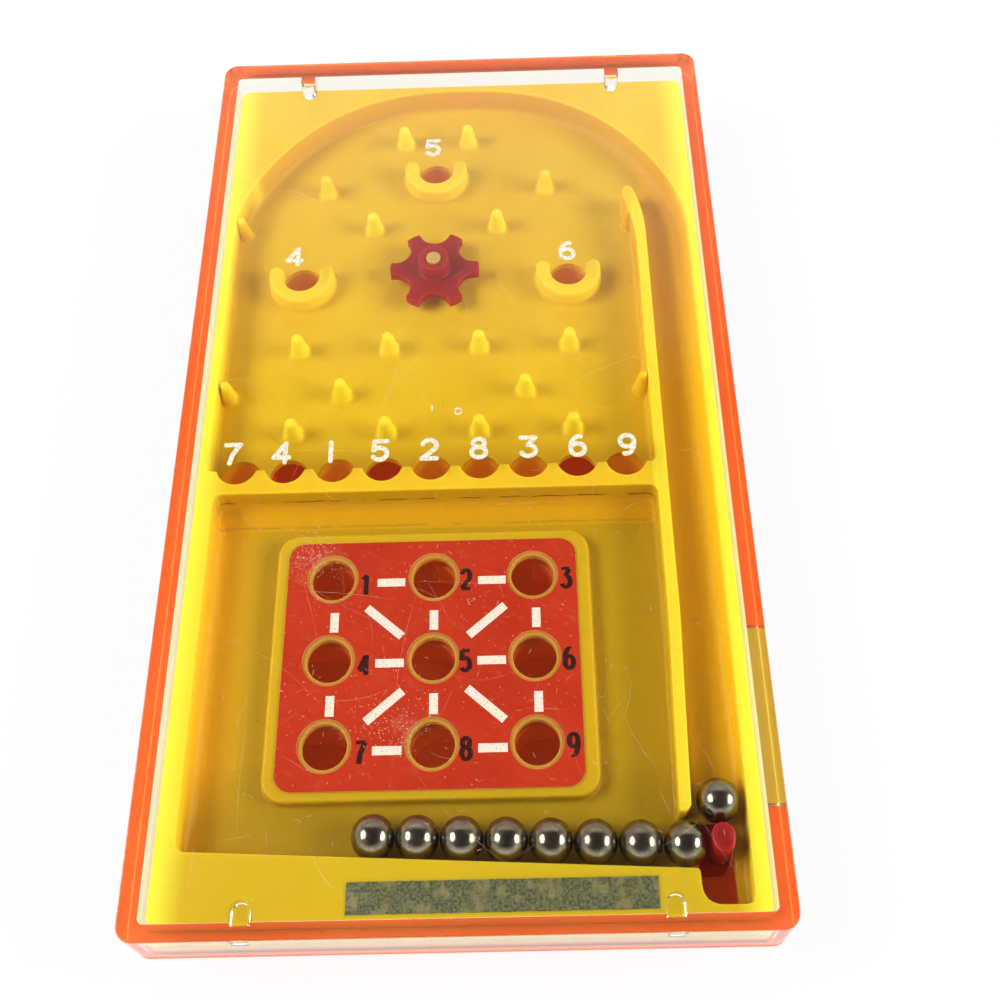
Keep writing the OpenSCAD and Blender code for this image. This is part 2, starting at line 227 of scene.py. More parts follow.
def rounded(x0, x1, y0, y1, radius, steps=8):
    """A rectangle with quarter circles for corners."""
    quarter = np.linspace(0, 90, steps)
    middles = [(x1 - radius, y1 - radius), (x0 + radius, y1 - radius),
               (x0 + radius, y0 + radius), (x1 - radius, y0 + radius)]
    return np.concatenate([turned(quarter + 90*k, radius, m) for k, m in enumerate(middles)])


def centred(x, y, radius, steps=8):
    """A rounded rectangle about the origin, from its half widths."""
    return rounded(-x, x, -y, y, radius, steps)


def softened(corners, steps=7):
    """Rounds the corners of a polygon: each is a parabola that starts and ends its cut away from the corner.

    A row is x, y, cut and one more value that is spread over the corner's points. It returns both."""
    rows = np.array(corners, float)
    spot, cut = rows[:, :2], rows[:, 2:3]
    before, after = np.roll(spot, 1, 0) - spot, np.roll(spot, -1, 0) - spot
    start = spot + before/np.linalg.norm(before, axis=1, keepdims=True)*cut
    end = spot + after/np.linalg.norm(after, axis=1, keepdims=True)*cut
    s = np.linspace(0, 1, steps)[None, :, None]
    bends = (1 - s)**2*start[:, None] + 2*s*(1 - s)*spot[:, None] + s**2*end[:, None]
    keep = np.ones((len(rows), steps), bool)
    keep[cut[:, 0] == 0, 1:] = False
    return spaced(bends[keep], np.repeat(rows[:, 3:4], steps, 1)[keep])


def spaced(outline, value, near=0.35, far=3.0):
    """Adds points on long straight edges: one near each end, so that rounds don't shade the flat, and more
    between."""
    ring, numbers = [], []
    for a, b, va, vb in zip(outline, np.roll(outline, -1, 0), value, np.roll(value, -1)):
        length = np.linalg.norm(b - a)
        steps = max(2, int(length/far) + 1)
        inner = np.linspace(near, length - near, steps)/length if length > 3*near else []
        for t in [0, *inner]:
            ring.append(a + t*(b - a))
            numbers.append(va + t*(vb - va))
    return np.array(ring), np.array(numbers)


def pushed(outline, push):
    """Moves an outline outwards by push along the mitre of its two neighbouring edges."""
    edge = np.roll(outline, -1, 0) - outline
    edge /= np.linalg.norm(edge, axis=1, keepdims=True)
    out = np.column_stack([edge[:, 1], -edge[:, 0]])
    last = np.roll(out, 1, 0)
    mitre = (out + last)/(1 + (out*last).sum(1, keepdims=True))
    return outline + mitre*np.broadcast_to(push, len(outline))[:, None]


def rounding(radius, steps=5):
    """A quarter round as rows of (way in, way down) from the side of an edge to its top."""
    a = np.linspace(0, math.pi/2, steps)
    return np.column_stack([1 - np.cos(a), 1 - np.sin(a)])*radius


def carry(skin, outline, rows):
    """Rings of one outline for rows of (push, height)."""
    return skin.tower([skin.ring(pushed(outline, push), z) for push, z in rows])


def raised(skin, outline, z0, z1, top=0.15, foot=0.0, steps=4):
    """A closed solid with upright walls, a rounded top edge and, if asked, a rounded bottom edge."""
    rows = [(-foot - 0.05, z0)] if foot else []
    rows += [(-w, z0 + d) for w, d in rounding(foot, steps)[::-1]] if foot else [(0, z0)]
    rows += [(-w, z1 - d) for w, d in rounding(top, steps)] + [(-top - 0.05, z1)]
    rings = carry(skin, outline, rows)
    skin.fill(rings[:1], up=False)
    skin.fill(rings[-1:])


def lathe(skin, middle, rows, steps=28):
    """A round piece on an upright axis from rows of (radius, height), bottom first.

    A row may hold a third value: four lobes then stand out by that share of the radius."""
    around = np.arange(steps)*360/steps
    lobes = np.cos(np.radians(4*around + 180))
    rings = []
    for r, z, *lobe in rows:
        reach = r*(1 + sum(lobe)*lobes)
        rings.append(skin.ring(turned(around, reach[:, None], middle), z))
    skin.tower(rings)
    skin.lid(rings[0], up=False)
    skin.lid(rings[-1])


def carve(obj, tool, how):
    """Joins or cuts with an exact boolean, keeps the result as the mesh and drops the tool."""
    step = obj.modifiers.new("carve", "BOOLEAN")
    step.operation, step.object, step.solver = how, tool, "EXACT"
    made = bpy.data.meshes.new_from_object(obj.evaluated_get(bpy.context.evaluated_depsgraph_get()))
    obj.modifiers.clear()
    obj.data = made
    bpy.data.objects.remove(tool)
    smooth(obj)
    print(obj.name, how.lower(), len(made.polygons), "faces")


print("outline tools are ready")

# %% [markdown]
# ## The yellow tray
#
# The tray is one moulding. Seen from above it is a flat rim with one long opening in it: up the ball
# lane, round the arch, down the field, along the ledge with the scoring holes, and back down the wall of
# the lane into the pocket. That opening is a single outline, so its wall and the soft round at its foot
# are one sweep. The round is small almost everywhere and wide under the lane, where it lifts the ball.

# %% Draw the opening of the tray
ARCH_HALF, ARCH_FOOT, ARCH_RISE = FIELD_R + 3.9, 7, FAR - 7.95
ARCH_POWER = 2.4
LANE_TOP = FAR - 27.95


def arch_y(x):
    """The arch is a flattened round: foot + rise*(1 - (|x|/half)^2.4)^(1/2.4)."""
    return ARCH_FOOT + ARCH_RISE*(1 - (np.abs(x + 0.1)/ARCH_HALF)**ARCH_POWER)**(1/ARCH_POWER)


# The arch is sampled finely and then walked in equal steps.
fine_x = (FIELD_L + FIELD_R)/2 + (FIELD_R - FIELD_L)/2*np.cos(np.linspace(0, math.pi, 2000))
fine = np.column_stack([fine_x, arch_y(fine_x)])
walked = np.append(0, np.cumsum(np.linalg.norm(np.diff(fine, axis=0), axis=1)))
arch_x = np.interp(np.linspace(0, walked[-1], 80), walked, fine_x)
arch_foot = np.interp(arch_x, [FIELD_L, 10, FIELD_R], [0.8, 0.9, 2.2])

# Each row is x, y, how far the corner is cut, and the radius of the round at the wall's foot there.
lane_foot = [(FIELD_L + 1.1, NEAR + 7.54, 1.2, 0.7), (LANE_X - 0.3, NEAR + 4.8, 0.5, 0.3),
             (LANE_X - 0.3, NEAR + 1.2, 2.2, 0.3), (FIELD_R - 0.7, NEAR + 1.2, 1, 0.5),
             (FIELD_R - 0.5, NEAR + 12, 0, 0.8), (FIELD_R - 0.3, NEAR + 30, 0, 1.6),
             (FIELD_R, FAR - 37.95, 0, 2.2)]
arch = list(zip(arch_x, arch_y(arch_x), 0*arch_x, arch_foot))
arch = [(FIELD_R, arch[0][1], 4, 2.2)] + arch[5:-4] + [(FIELD_L, arch[-1][1], 2.8, 0.8)]
ledge_back = [(FIELD_L, LEDGE_BACK, 0.7, 0.3), (LANE_X - LANE_WALL, LEDGE_BACK, 0.7, 0.3),
              (LANE_X - LANE_WALL, 0, 0, 0.7), (LANE_X - LANE_WALL, LANE_TOP - 1, 0, 0.7)]
lane_tip = [(LANE_X + dx, LANE_TOP + dy, 0.25, 0.4) for dx, dy in
            ((-1.7, 2), (-2.2, 4.5), (-2.8, 6.8), (-2.7, 7.9), (-2.1, 8.3), (-1.5, 8), (-0.9, 6.5),
             (-0.4, 4.3), (-0.1, 2.2))]
lane_side = [(LANE_X, LANE_TOP, 0, 0.5), (LANE_X, -25, 0, 0.5), (LANE_X - 0.65, NEAR + 11.15, 0.3, 0.3),
             (LANE_X - 1.3, NEAR + 10.55, 0.3, 0.3), (LANE_X - 2, NEAR + 10.55, 0.38, 0.3),
             (LANE_X - LANE_WALL, -25, 0, 0.7)]
ledge_front = [(LANE_X - LANE_WALL, LEDGE_FRONT, 1.3, 0.7), (FIELD_L + 1, LEDGE_FRONT, 1.3, 0.7),
               (FIELD_L + 1.02, LEDGE_FRONT - 5, 0, 1.6), (FIELD_L + 1.08, NEAR + 12.5, 0, 1.6)]
opening, foot_round = softened(lane_foot + arch + ledge_back + lane_tip + lane_side + ledge_front)
print("the opening has", len(opening), "points")

# %% [markdown]
# From the outside of the tray the skin runs up the edge, over the rim, down the opening's wall and out
# onto the floor. The raised block for the target label is an island that rises from that floor.

# %% Mould the tray's body
tray_skin = Skin()
EDGE, BLOCK_EDGE = 0.16, 0.3
over_edge = [(-w, RIM - d) for w, d in rounding(EDGE)] + [(-EDGE - 0.1, RIM)]
outside = carry(tray_skin, centred(TRAY_X, TRAY_Y, 1), [(0, TRAY_FOOT)] + over_edge)
inside_edge = [(EDGE + 0.05, RIM)] + [(w, RIM - d) for w, d in rounding(EDGE)[::-1]]
walls = [tray_skin.ring(pushed(opening, push), z) for push, z in inside_edge]
for angle in np.radians([0, 18, 36, 54, 72, 90]):
    walls.append(tray_skin.ring(pushed(opening, -foot_round*(1 - math.cos(angle))),
                                FLOOR + foot_round*(1 - math.sin(angle))))
walls.append(tray_skin.ring(pushed(opening, -foot_round - 0.1), FLOOR))
tray_skin.tower(walls)
tray_skin.fill([outside[-1], walls[0]])

block_rows = [(BLOCK_EDGE + 0.1, FLOOR)] + [(w, FLOOR + d) for w, d in rounding(BLOCK_EDGE)[::-1]]
block_rows += [(-w, BLOCK_TOP - d) for w, d in rounding(BLOCK_EDGE)] + [(-BLOCK_EDGE - 0.1, BLOCK_TOP)]
block = carry(tray_skin, rounded(*BLOCK, 2.5, 12), block_rows)
tray_skin.fill([walls[-1], block[0]])
tray_skin.fill(block[-1:])

# The block is hollow from below, with a wall of 1.2 mm and a roof of 1 mm.
hollow = rounded(BLOCK[0] + 1.2, BLOCK[1] - 1.2, BLOCK[2] + 1.2, BLOCK[3] - 1.2, 1.5)
under = carry(tray_skin, hollow, [(0, BLOCK_TOP - 1), (0, TRAY_FOOT)])
tray_skin.fill(under[:1], up=False)
tray_skin.fill([outside[0], under[-1]], up=False)
tray = tray_skin.mesh("moulded_tray")
print("tray body", len(tray.data.polygons), "faces")

# %% [markdown]
# Pins and cups stand on the floor. A pin is a cone with a flared foot and a round tip, turned about its
# axis. A cup is a crescent: an outer arc, a round end, an inner arc and another round end, each running
# into the next without a kink. They are joined to the tray with a boolean, because the real ones were
# filled with it in one shot. The tab on the right, which closes a notch in the base's flange, joins in too.

# %% Join the pins, the cups and the tab
details = Skin()

# Rows of radius, height over the floor and the share of the lobes, from inside the floor to the tip.
pin_rows = [(1.9, -0.4), (1.9, -0.02), (1.62, 0.03, 0.04), (1.42, 0.14, 0.07), (1.29, 0.34, 0.08),
            (1.18, 0.7, 0.05), (0.95, 1.9), (0.8, 2.9), (0.72, 3.35), (0.6, 3.62), (0.4, 3.8), (0.15, PIN_H)]
for spot in PINS:
    lathe(details, spot, [(r, FLOOR + z, *lobe) for r, z, *lobe in pin_rows])
for spot in WALL_PINS:
    lathe(details, spot, [(0.85*r, FLOOR + z) for r, z, *_ in pin_rows])

CUP_OUT, CUP_IN, ARM_AT = CUP_R + 0.1, HOLE_R - 0.12, 10
arm_r = (CUP_OUT - CUP_IN)/2
arm_middle = turned([ARM_AT], (CUP_OUT + CUP_IN)/2)[0]
half_round = np.linspace(0, 180, 11)[1:-1]
crescent = np.concatenate([
    turned(np.linspace(180 - ARM_AT, 360 + ARM_AT, 44), CUP_OUT),
    turned(ARM_AT + half_round, arm_r, arm_middle),
    turned(np.linspace(360 + ARM_AT, 180 - ARM_AT, 26), CUP_IN),
    turned(half_round - ARM_AT, arm_r, arm_middle*[-1, 1])])

# Rows of push and height over the floor: a foot inside the floor, a round foot, the wall and a round top.
cup_rows = [(0.35, -0.3), (0.35, -0.01)] + [(w, d) for w, d in rounding(0.32)[::-1]] + [(-0.06, 1.4)]
cup_rows += [(-0.08 - w, CUP_H - d) for w, d in rounding(0.62, 6)] + [(-0.74, CUP_H)]
for spot in CUPS:
    rings = carry(details, crescent + spot, [(push, FLOOR + z) for push, z in cup_rows])
    details.fill(rings[:1], up=False)
    details.fill(rings[-1:])
tab_y = POST[1] + np.array([3.8, 23.5])
raised(details, rounded(TRAY_X - 1, EDGE_X, *tab_y, 0.2, 5), TRAY_FOOT + 0.02, BOND, 0.01, 0.1)
carve(tray, details.mesh("details"), "UNION")
print(len(PINS) + len(WALL_PINS), "pins and", len(CUPS), "cups joined in")

# %% [markdown]
# The scoring holes cut into the ledge behind them, which gives its wavy back edge. Their cutter flares
# at the rim, so that edge comes out soft. The other holes flare at the face that they pierce.

# %% Cut the holes and the plunger's slot
cutters = Skin()


def bore(middle, top, flare=0.16):
    """A round cutter that flares at the height of the face it opens in."""
    rows = [(HOLE_R, TRAY_FOOT - 1), (HOLE_R, top - flare)]
    rows += [(HOLE_R + w, top - d) for w, d in rounding(flare)[1:]]
    lathe(cutters, middle, rows + [(HOLE_R + flare, top + 1)], 40)


for spot in ROW_HOLES:
    bore(spot, RIM, 0.3)
for spot in TARGETS:
    bore(spot, BLOCK_TOP)
for spot in CUPS:
    bore(spot, FLOOR + CUP_H, 0.3)
slot = rounded(LANE_X - 0.2, POST[0] + 1.45, NEAR + 1.55, NEAR + 10.35, 0.5, 5)
raised(cutters, slot, TRAY_FOOT - 1, FLOOR + 1)
carve(tray, cutters.mesh("cutters"), "DIFFERENCE")
print("bored tray", len(tray.data.polygons), "faces")

# %% [markdown]
# ## The red base
#
# The base is a tub with a flange. Its outside shows from below and from the sides, and the flange shows
# down through the lid's walls as an orange frame. All its outlines are rounded rectangles with the same
# number of points, so the whole tub is one sweep, from the underside over the flange into the inside.

# %% Mould the tub
TUB_X, TUB_Y = TRAY_X - 0.45, TRAY_Y - 0.45
BASE_FLOOR, BASE_WALL = 1.2, 1.7
TUB, FLANGE = np.array([TUB_X, TUB_Y]), np.array([EDGE_X, EDGE_Y])
SEAT = np.array([TRAY_X, TRAY_Y]) + 0.15

# Rows of half widths, corner radius and height, from the underside round the flange to the inner floor.
tub_rows = [(TUB - 0.6, 2.4, 0), (TUB - 0.5, 2.5, 0)]
tub_rows += [(TUB - w, 3 - w, d) for w, d in rounding(0.5)[::-1]]
tub_rows += [(TUB, 3, TRAY_FOOT - 1.3), (TUB + 0.1, 3, TRAY_FOOT - 1.2),
             (TUB + 1.1, 2, TRAY_FOOT - 1.2), (TUB + 1.2, 2, TRAY_FOOT - 1.1),
             (TUB + 1.2, 2, FLANGE_TOP - 1.25), (FLANGE - 0.15, 1.8, FLANGE_TOP - 1.2),
             (FLANGE, 1.8, FLANGE_TOP - 1.05), (FLANGE, 1.8, BOND),
             (SEAT + 0.01, 1.15, BOND), (SEAT, 1.15, BOND - 0.01), (SEAT, 1.15, TRAY_FOOT - 0.02),
             (TUB - BASE_WALL, 1.5, TRAY_FOOT - 0.02), (TUB - BASE_WALL, 1.5, BASE_FLOOR)]
base_skin = Skin()
tub = base_skin.tower([base_skin.ring(centred(*half, r, 9), z) for half, r, z in tub_rows])
base_skin.fill(tub[:1], up=False)
base_skin.fill(tub[-1:])
base = base_skin.mesh("moulded_base")
print("tub", len(base.data.polygons), "faces")

# %% [markdown]
# Inside it, nine channels lead from the holes of the row to the target holes. They show as ribs and
# shadows at the bottom of each hole. Each channel is a path with a width: its outline runs along both
# sides of the path with a half circle at each end. Wide prisms are joined in and narrow ones cut out.

# %% Lay out the ball channels
RIB_T, CHANNEL_W = 0.85, 5.2
BEND_Y = 28


def row_x(k):
    """Place of a scoring hole across the field, counted from the middle one."""
    return MID_X + k*HOLE_PITCH


def led(k, start_y, row, column):
    """A way that runs down under column k of the scoring holes and turns to a target hole."""
    return [(row_x(k), start_y), (row_x(k), TARGET_Y[row]), (TARGET_X[column], TARGET_Y[row])]


channels = [led(k, HOLE_Y, 0, column) for column, k in enumerate((-2, 0, 2))]
channels += [led(-3, CUPS[1][1], 1, 0), led(3, CUPS[2][1], 1, 2)]
channels += [[(MID_X, CUPS[0][1]), (MID_X, BEND_Y + HOLE_PITCH), (row_x(-1), BEND_Y),
              (row_x(-1), TARGET_Y[1]), (TARGET_X[1], TARGET_Y[1])]]
channels += [led(k, HOLE_Y, 2, column) for column, k in enumerate((-4, 1, 4))]
print(len(channels), "channels")

# %% Cut the ball channels


def ribbon(path, width, ends=9):
    """Outline of a path with a width: out along one side, round the end, back along the other, round the
    start."""
    path = np.array(path, float)
    way = np.diff(path, axis=0)
    way /= np.linalg.norm(way, axis=1, keepdims=True)
    side = np.column_stack([way[:, 1], -way[:, 0]])
    left, right = np.vstack([side[:1], side]), np.vstack([side, side[-1:]])
    mitre = (left + right)/(1 + (left*right).sum(1, keepdims=True))
    swing = np.linspace(0, 180, ends)[1:-1]
    first, last = (math.degrees(math.atan2(*s[::-1])) for s in (side[0], side[-1]))
    return np.concatenate([path + mitre*width/2, turned(last + swing, width/2, path[-1]),
                           (path - mitre*width/2)[::-1], turned(first + 180 + swing, width/2, path[0])])


# Each prism is a hair narrower and taller than the one before, so that no two share a face.
NARROWER, TALLER = 0.003, 0.0007
for width, z0, z1, how in ((CHANNEL_W + 2*RIB_T, BASE_FLOOR - 0.2, TRAY_FOOT - 0.04, "UNION"),
                           (CHANNEL_W, BASE_FLOOR, TRAY_FOOT + 0.5, "DIFFERENCE")):
    for k, path in enumerate(channels):
        tool = Skin()
        outline = ribbon(path, width - NARROWER*k)
        rings = carry(tool, outline, [(0, z0 - TALLER*k), (0, z1 + TALLER*k)])
        tool.fill(rings[:1], up=False)
        tool.fill(rings[-1:])
        carve(base, tool.mesh("channel"), how)
print("base with channels", len(base.data.polygons), "faces")

# %% [markdown]
# The plunger's thumb pad looks out through an opening in the right wall, and the flange has a notch
# there that the tray's tab fills. A guide rib and a post for the spring stand beside the slider.

# %% Open the base for the plunger
BAR_L, BAR_R = POST[0] - 2.1, TUB_X - BASE_WALL - 0.2
BAR_FRONT, BAR_BACK = POST[1] - 1.8, POST[1] + 20.7
PAD_Y = POST[1] + np.array([6.2, 17.2])
ANCHOR_Y, COIL_X = POST[1] + 4.4, POST[0] - 0.2
STROKE = 3.6
guides = Skin()
guide_rib = rounded(BAR_L - 1, BAR_L - 0.2, NEAR + 1.75, BAR_BACK + 2.5, 0.25, 3)
raised(guides, guide_rib, BASE_FLOOR - 0.2, TRAY_FOOT - 0.05)
anchor = rounded(COIL_X - 0.7, COIL_X + 0.7, ANCHOR_Y, ANCHOR_Y + 1, 0.25, 3)
raised(guides, anchor, BASE_FLOOR - 0.2, BASE_FLOOR + 3.2)
carve(base, guides.mesh("guides"), "UNION")
mouth = Skin()
mouth_outline = rounded(TUB_X - BASE_WALL - 1, CASE_X + 1, PAD_Y[0] - STROKE - 0.4, PAD_Y[1] + 0.4, 0.3, 4)
raised(mouth, mouth_outline, BASE_FLOOR + 0.3, TRAY_FOOT - 0.9)
carve(base, mouth.mesh("mouth"), "DIFFERENCE")
notch = Skin()
notch_outline = rounded(TUB_X + 0.2, CASE_X + 1, POST[1] + 3.5, POST[1] + 23.8, 0.3, 4)
raised(notch, notch_outline, TRAY_FOOT - 1.3, FLANGE_TOP + 1)
carve(base, notch.mesh("notch"), "DIFFERENCE")
print("finished base", len(base.data.polygons), "faces")

# %% [markdown]
# ## The plunger
#
# The plunger is a red slider under the tray. What shows is the oval post with its soft rim, the slider's
# top through the slot, and the ribbed thumb pad on the right side of the base.

# %% Mould the plunger
POST_TOP, POST_W = TRAY_FOOT + 5.5, 2.5
PAD_SIDE = FLANGE_X - 0.05
RIB_COUNT, RIB_PITCH = 6, 1.5
slider = Skin()
bar = rounded(BAR_L, BAR_R, BAR_FRONT, BAR_BACK, 0.6, 6)
bar[(bar[:, 0] > BAR_R - 1.5) & (bar[:, 1] < BAR_FRONT + 1.3)] -= [1, 0]
raised(slider, bar, BASE_FLOOR + 0.2, TRAY_FOOT - 0.3, 0.15, 0.1)
post = ribbon([(POST[0], POST[1] - 0.3), (POST[0], POST[1] + 0.3)], POST_W)
post_rows = [(0, TRAY_FOOT - 0.5)] + [(-w, POST_TOP - d) for w, d in rounding(0.3)]
post_rows += [(-0.45, POST_TOP), (-0.55, POST_TOP - 0.08), (-0.7, POST_TOP - 0.08)]
rings = carry(slider, post, post_rows)
slider.fill(rings[:1], up=False)
slider.fill(rings[-1:])
plunger = slider.mesh("moulded_plunger")
arm = Skin()
raised(arm, rounded(BAR_R - 0.5, TUB_X + 0.5, *PAD_Y, 0.2, 4), BASE_FLOOR + 0.6, TRAY_FOOT - 1.2, 0.1, 0.1)
carve(plunger, arm.mesh("arm"), "UNION")
pad = Skin()
raised(pad, rounded(TUB_X + 0.3, PAD_SIDE, *PAD_Y, 0.5, 6), BASE_FLOOR - 0.4, TRAY_FOOT - 1.4, 0.25, 0.25)
carve(plunger, pad.mesh("pad"), "UNION")
ribs = Skin()
rib_rows = [(0.15, BASE_FLOOR - 0.3), (0.28, BASE_FLOOR - 0.2),
            (0.28, TRAY_FOOT - 1.6), (0.15, TRAY_FOOT - 1.5)]
first_rib = PAD_Y.mean() - RIB_PITCH*(RIB_COUNT - 1)/2
for k in range(RIB_COUNT):
    lathe(ribs, (PAD_SIDE, first_rib + RIB_PITCH*k), rib_rows, 12)
carve(plunger, ribs.mesh("ribs"), "UNION")
pocket = Skin()
pocket_outline = rounded(COIL_X - 1, COIL_X + 1, ANCHOR_Y - 0.3, POST[1] + 16.7, 0.25, 3)
raised(pocket, pocket_outline, BASE_FLOOR - 1, BASE_FLOOR + 3.5)
carve(plunger, pocket.mesh("pocket"), "DIFFERENCE")
print("plunger", len(plunger.data.polygons), "faces")

# %% [markdown]
# ## The spinner, its axle and the steel balls
#
# The spinner's star is a disc with six round bites. Each bite is an arc, each tooth ends on the disc's
# edge, and a short running mean over the outline takes the sharpness off the teeth, as moulding does.

# %% Make the spinner and its axle
STAR_R, BITE_R, BITE_AT = 6.1, 2.15, 6.25
STAR_THICK, STAR_EDGE = 1.4, 0.14
HUB_R, AXLE_R = 2.05, 1.0
half_bite = math.degrees(math.acos((STAR_R**2 + BITE_AT**2 - BITE_R**2)/(2*STAR_R*BITE_AT)))
corner = turned([half_bite], STAR_R)[0] - [BITE_AT, 0]
bite_end = math.degrees(math.atan2(*corner[::-1]))
arcs = []
for a in range(30, 390, 60):
    arcs.append(turned(np.linspace(-bite_end, bite_end - 360, 26) + a, BITE_R, turned([a], BITE_AT)[0]))
    arcs.append(turned(np.linspace(a + half_bite, a + 60 - half_bite, 12)[1:-1], STAR_R))
star = np.concatenate(arcs)
for _ in range(2):
    star = (np.roll(star, 1, 0) + 2*star + np.roll(star, -1, 0))/4
spinner_skin = Skin()
star_top = STAR_FOOT + STAR_THICK
star_rows = [(-0.2, STAR_FOOT)] + [(-w, STAR_FOOT + d) for w, d in rounding(STAR_EDGE)[::-1]]
star_rows += [(-w, star_top - d) for w, d in rounding(STAR_EDGE)] + [(-0.2, star_top)]
outer = carry(spinner_skin, star + SPINNER, star_rows)
around = np.arange(40)*9
hub_rows = [(HUB_R + 0.45, star_top), (HUB_R + 0.35, star_top)]
hub_rows += [(HUB_R + w, star_top + d) for w, d in rounding(0.3)[::-1]]
hub_rows += [(HUB_R - w, HUB_TOP - d) for w, d in rounding(0.18)]
hub_rows += [(AXLE_R + 0.25, HUB_TOP), (AXLE_R + 0.08, HUB_TOP - 0.15), (AXLE_R + 0.08, STAR_FOOT)]
hub = spinner_skin.tower([spinner_skin.ring(turned(around, r, SPINNER), z) for r, z in hub_rows])
spinner_skin.fill([outer[-1], hub[0]])
spinner_skin.fill([outer[0], hub[-1]], up=False)
spinner = spinner_skin.mesh("moulded_spinner")

axle_top = span("spinner_axle")[1][2]
axle_skin = Skin()
axle_rows = [(AXLE_R - 0.1, TRAY_FOOT + 0.05), (AXLE_R, TRAY_FOOT + 0.15), (AXLE_R, axle_top - 0.25)]
axle_rows += [(AXLE_R - w, axle_top - d) for w, d in rounding(0.25)[1:]] + [(0.3, axle_top)]
lathe(axle_skin, SPINNER, axle_rows, 32)
axle = axle_skin.mesh("axle_pin")
print("spinner", len(spinner.data.polygons), "faces, axle", len(axle.data.polygons))

# %% [markdown]
# A steel ball is ground round to a few thousandths of a millimetre, so each is a true sphere: a half
# circle of (radius, height) rows turned about the upright axis.

# %% Make the nine balls
BALL_COUNT = 9
tilt = np.radians(np.linspace(-88.5, 88.5, 40))
balls = []
for i in range(1, BALL_COUNT + 1):
    low, high = span(f"ball_{i}")
    centre, radius = (low + high)/2, (high[0] - low[0])/2
    ball_skin = Skin()
    half_circle = np.column_stack([radius*np.cos(tilt), centre[2] + radius*np.sin(tilt)])
    lathe(ball_skin, centre[:2], half_circle, 64)
    balls.append(ball_skin.mesh(f"steel_ball_{i}"))
print(len(balls), "balls of", round(2*radius, 2), "mm")

# %% [markdown]
# The return spring is wire wound on a mandrel. Its centre line is a helix, and a small circle is carried
# along it. Each end is closed by a face.

# %% Wind the spring
spring_low, spring_high = span("plunger_spring")
WIRE_R = 0.17
coil_r = (spring_high[0] - spring_low[0])/2 - WIRE_R
turns, per_turn, sides = 8, 28, 10
phase = np.linspace(0, 2*math.pi*turns, turns*per_turn + 1)
axis = (spring_low + spring_high)/2
along = np.linspace(spring_low[1] + WIRE_R, spring_high[1] - WIRE_R, len(phase))
bead = np.linspace(0, 2*math.pi, sides, endpoint=False)
reach = coil_r + WIRE_R*np.cos(bead)[None]
wire = np.stack([axis[0] + reach*np.cos(phase)[:, None], along[:, None] + WIRE_R*np.sin(bead)[None],
                 axis[2] + reach*np.sin(phase)[:, None]], -1)
spring_skin = Skin()
coils = [spring_skin.ring(ring[:, :2], ring[:, 2]) for ring in wire]
spring_skin.tower(coils)
spring_skin.lid(coils[0], up=False)
spring_skin.lid(coils[-1])
spring = spring_skin.mesh("wound_spring")
print("spring", turns, "turns of", 2*WIRE_R, "mm wire")

# %% [markdown]
# ## The clear lid
#
# The lid is one clear moulding: a window with four walls, open below, and four small lugs in it that
# press on the tray. It is a closed skin with real thickness, so light bends through it and the orange
# flange shows down through the walls. Its figures stand on the underside of the window.

# %% Mould the lid
lid_skin = Skin()
LID_IN_X, LID_IN_Y = CASE_X - LID_WALL, CASE_Y - LID_WALL
shell = carry(lid_skin, centred(CASE_X, CASE_Y, 1.8, 10),
              [(0, LID_FOOT), (0, TOP - 0.3)] + [(-w, TOP - d) for w, d in rounding(0.15, 5)] + [(-0.2, TOP)])
lid_skin.fill(shell[-1:])
cavity = carry(lid_skin, centred(LID_IN_X, LID_IN_Y, 0.6, 10),
               [(-0.1, WINDOW_FOOT)] + [(-w, WINDOW_FOOT - d) for w, d in rounding(0.05)[::-1]]
               + [(0, WINDOW_FOOT - 0.4), (0, LID_FOOT)])
lid_skin.fill(cavity[:1], up=False)
lid_skin.fill([shell[0], cavity[-1]], up=False)
lid = lid_skin.mesh("clear_lid")
lugs = Skin()
LUG_X, LUG_REACH = CASE_X - 12.2, 2.2
for x in (-LUG_X, LUG_X):
    for side in (-1, 1):
        peg = ribbon([(x, side*(LID_IN_Y + 0.5)), (x, side*(LID_IN_Y - LUG_REACH + 1))], 2)
        raised(lugs, peg, RIM + 0.02, WINDOW_FOOT + 0.4, 0.02, 0.25)
carve(lid, lugs.mesh("lugs"), "UNION")
print("lid", len(lid.data.polygons), "faces")

# %% [markdown]
# Figures are drawn as strokes: each digit is a few paths in a box of one by one, and a ribbon gives a path
# its width. On the lid they stand under the window as soft ridges, white where the mould was matt.

# %% Draw the digits as strokes


def arc(x, y, rx, ry, start, end, steps=16):
    """Part of an ellipse, from one angle to another in degrees."""
    return (np.array([x, y]) + turned(np.linspace(start, end, steps))*[rx, ry]).tolist()


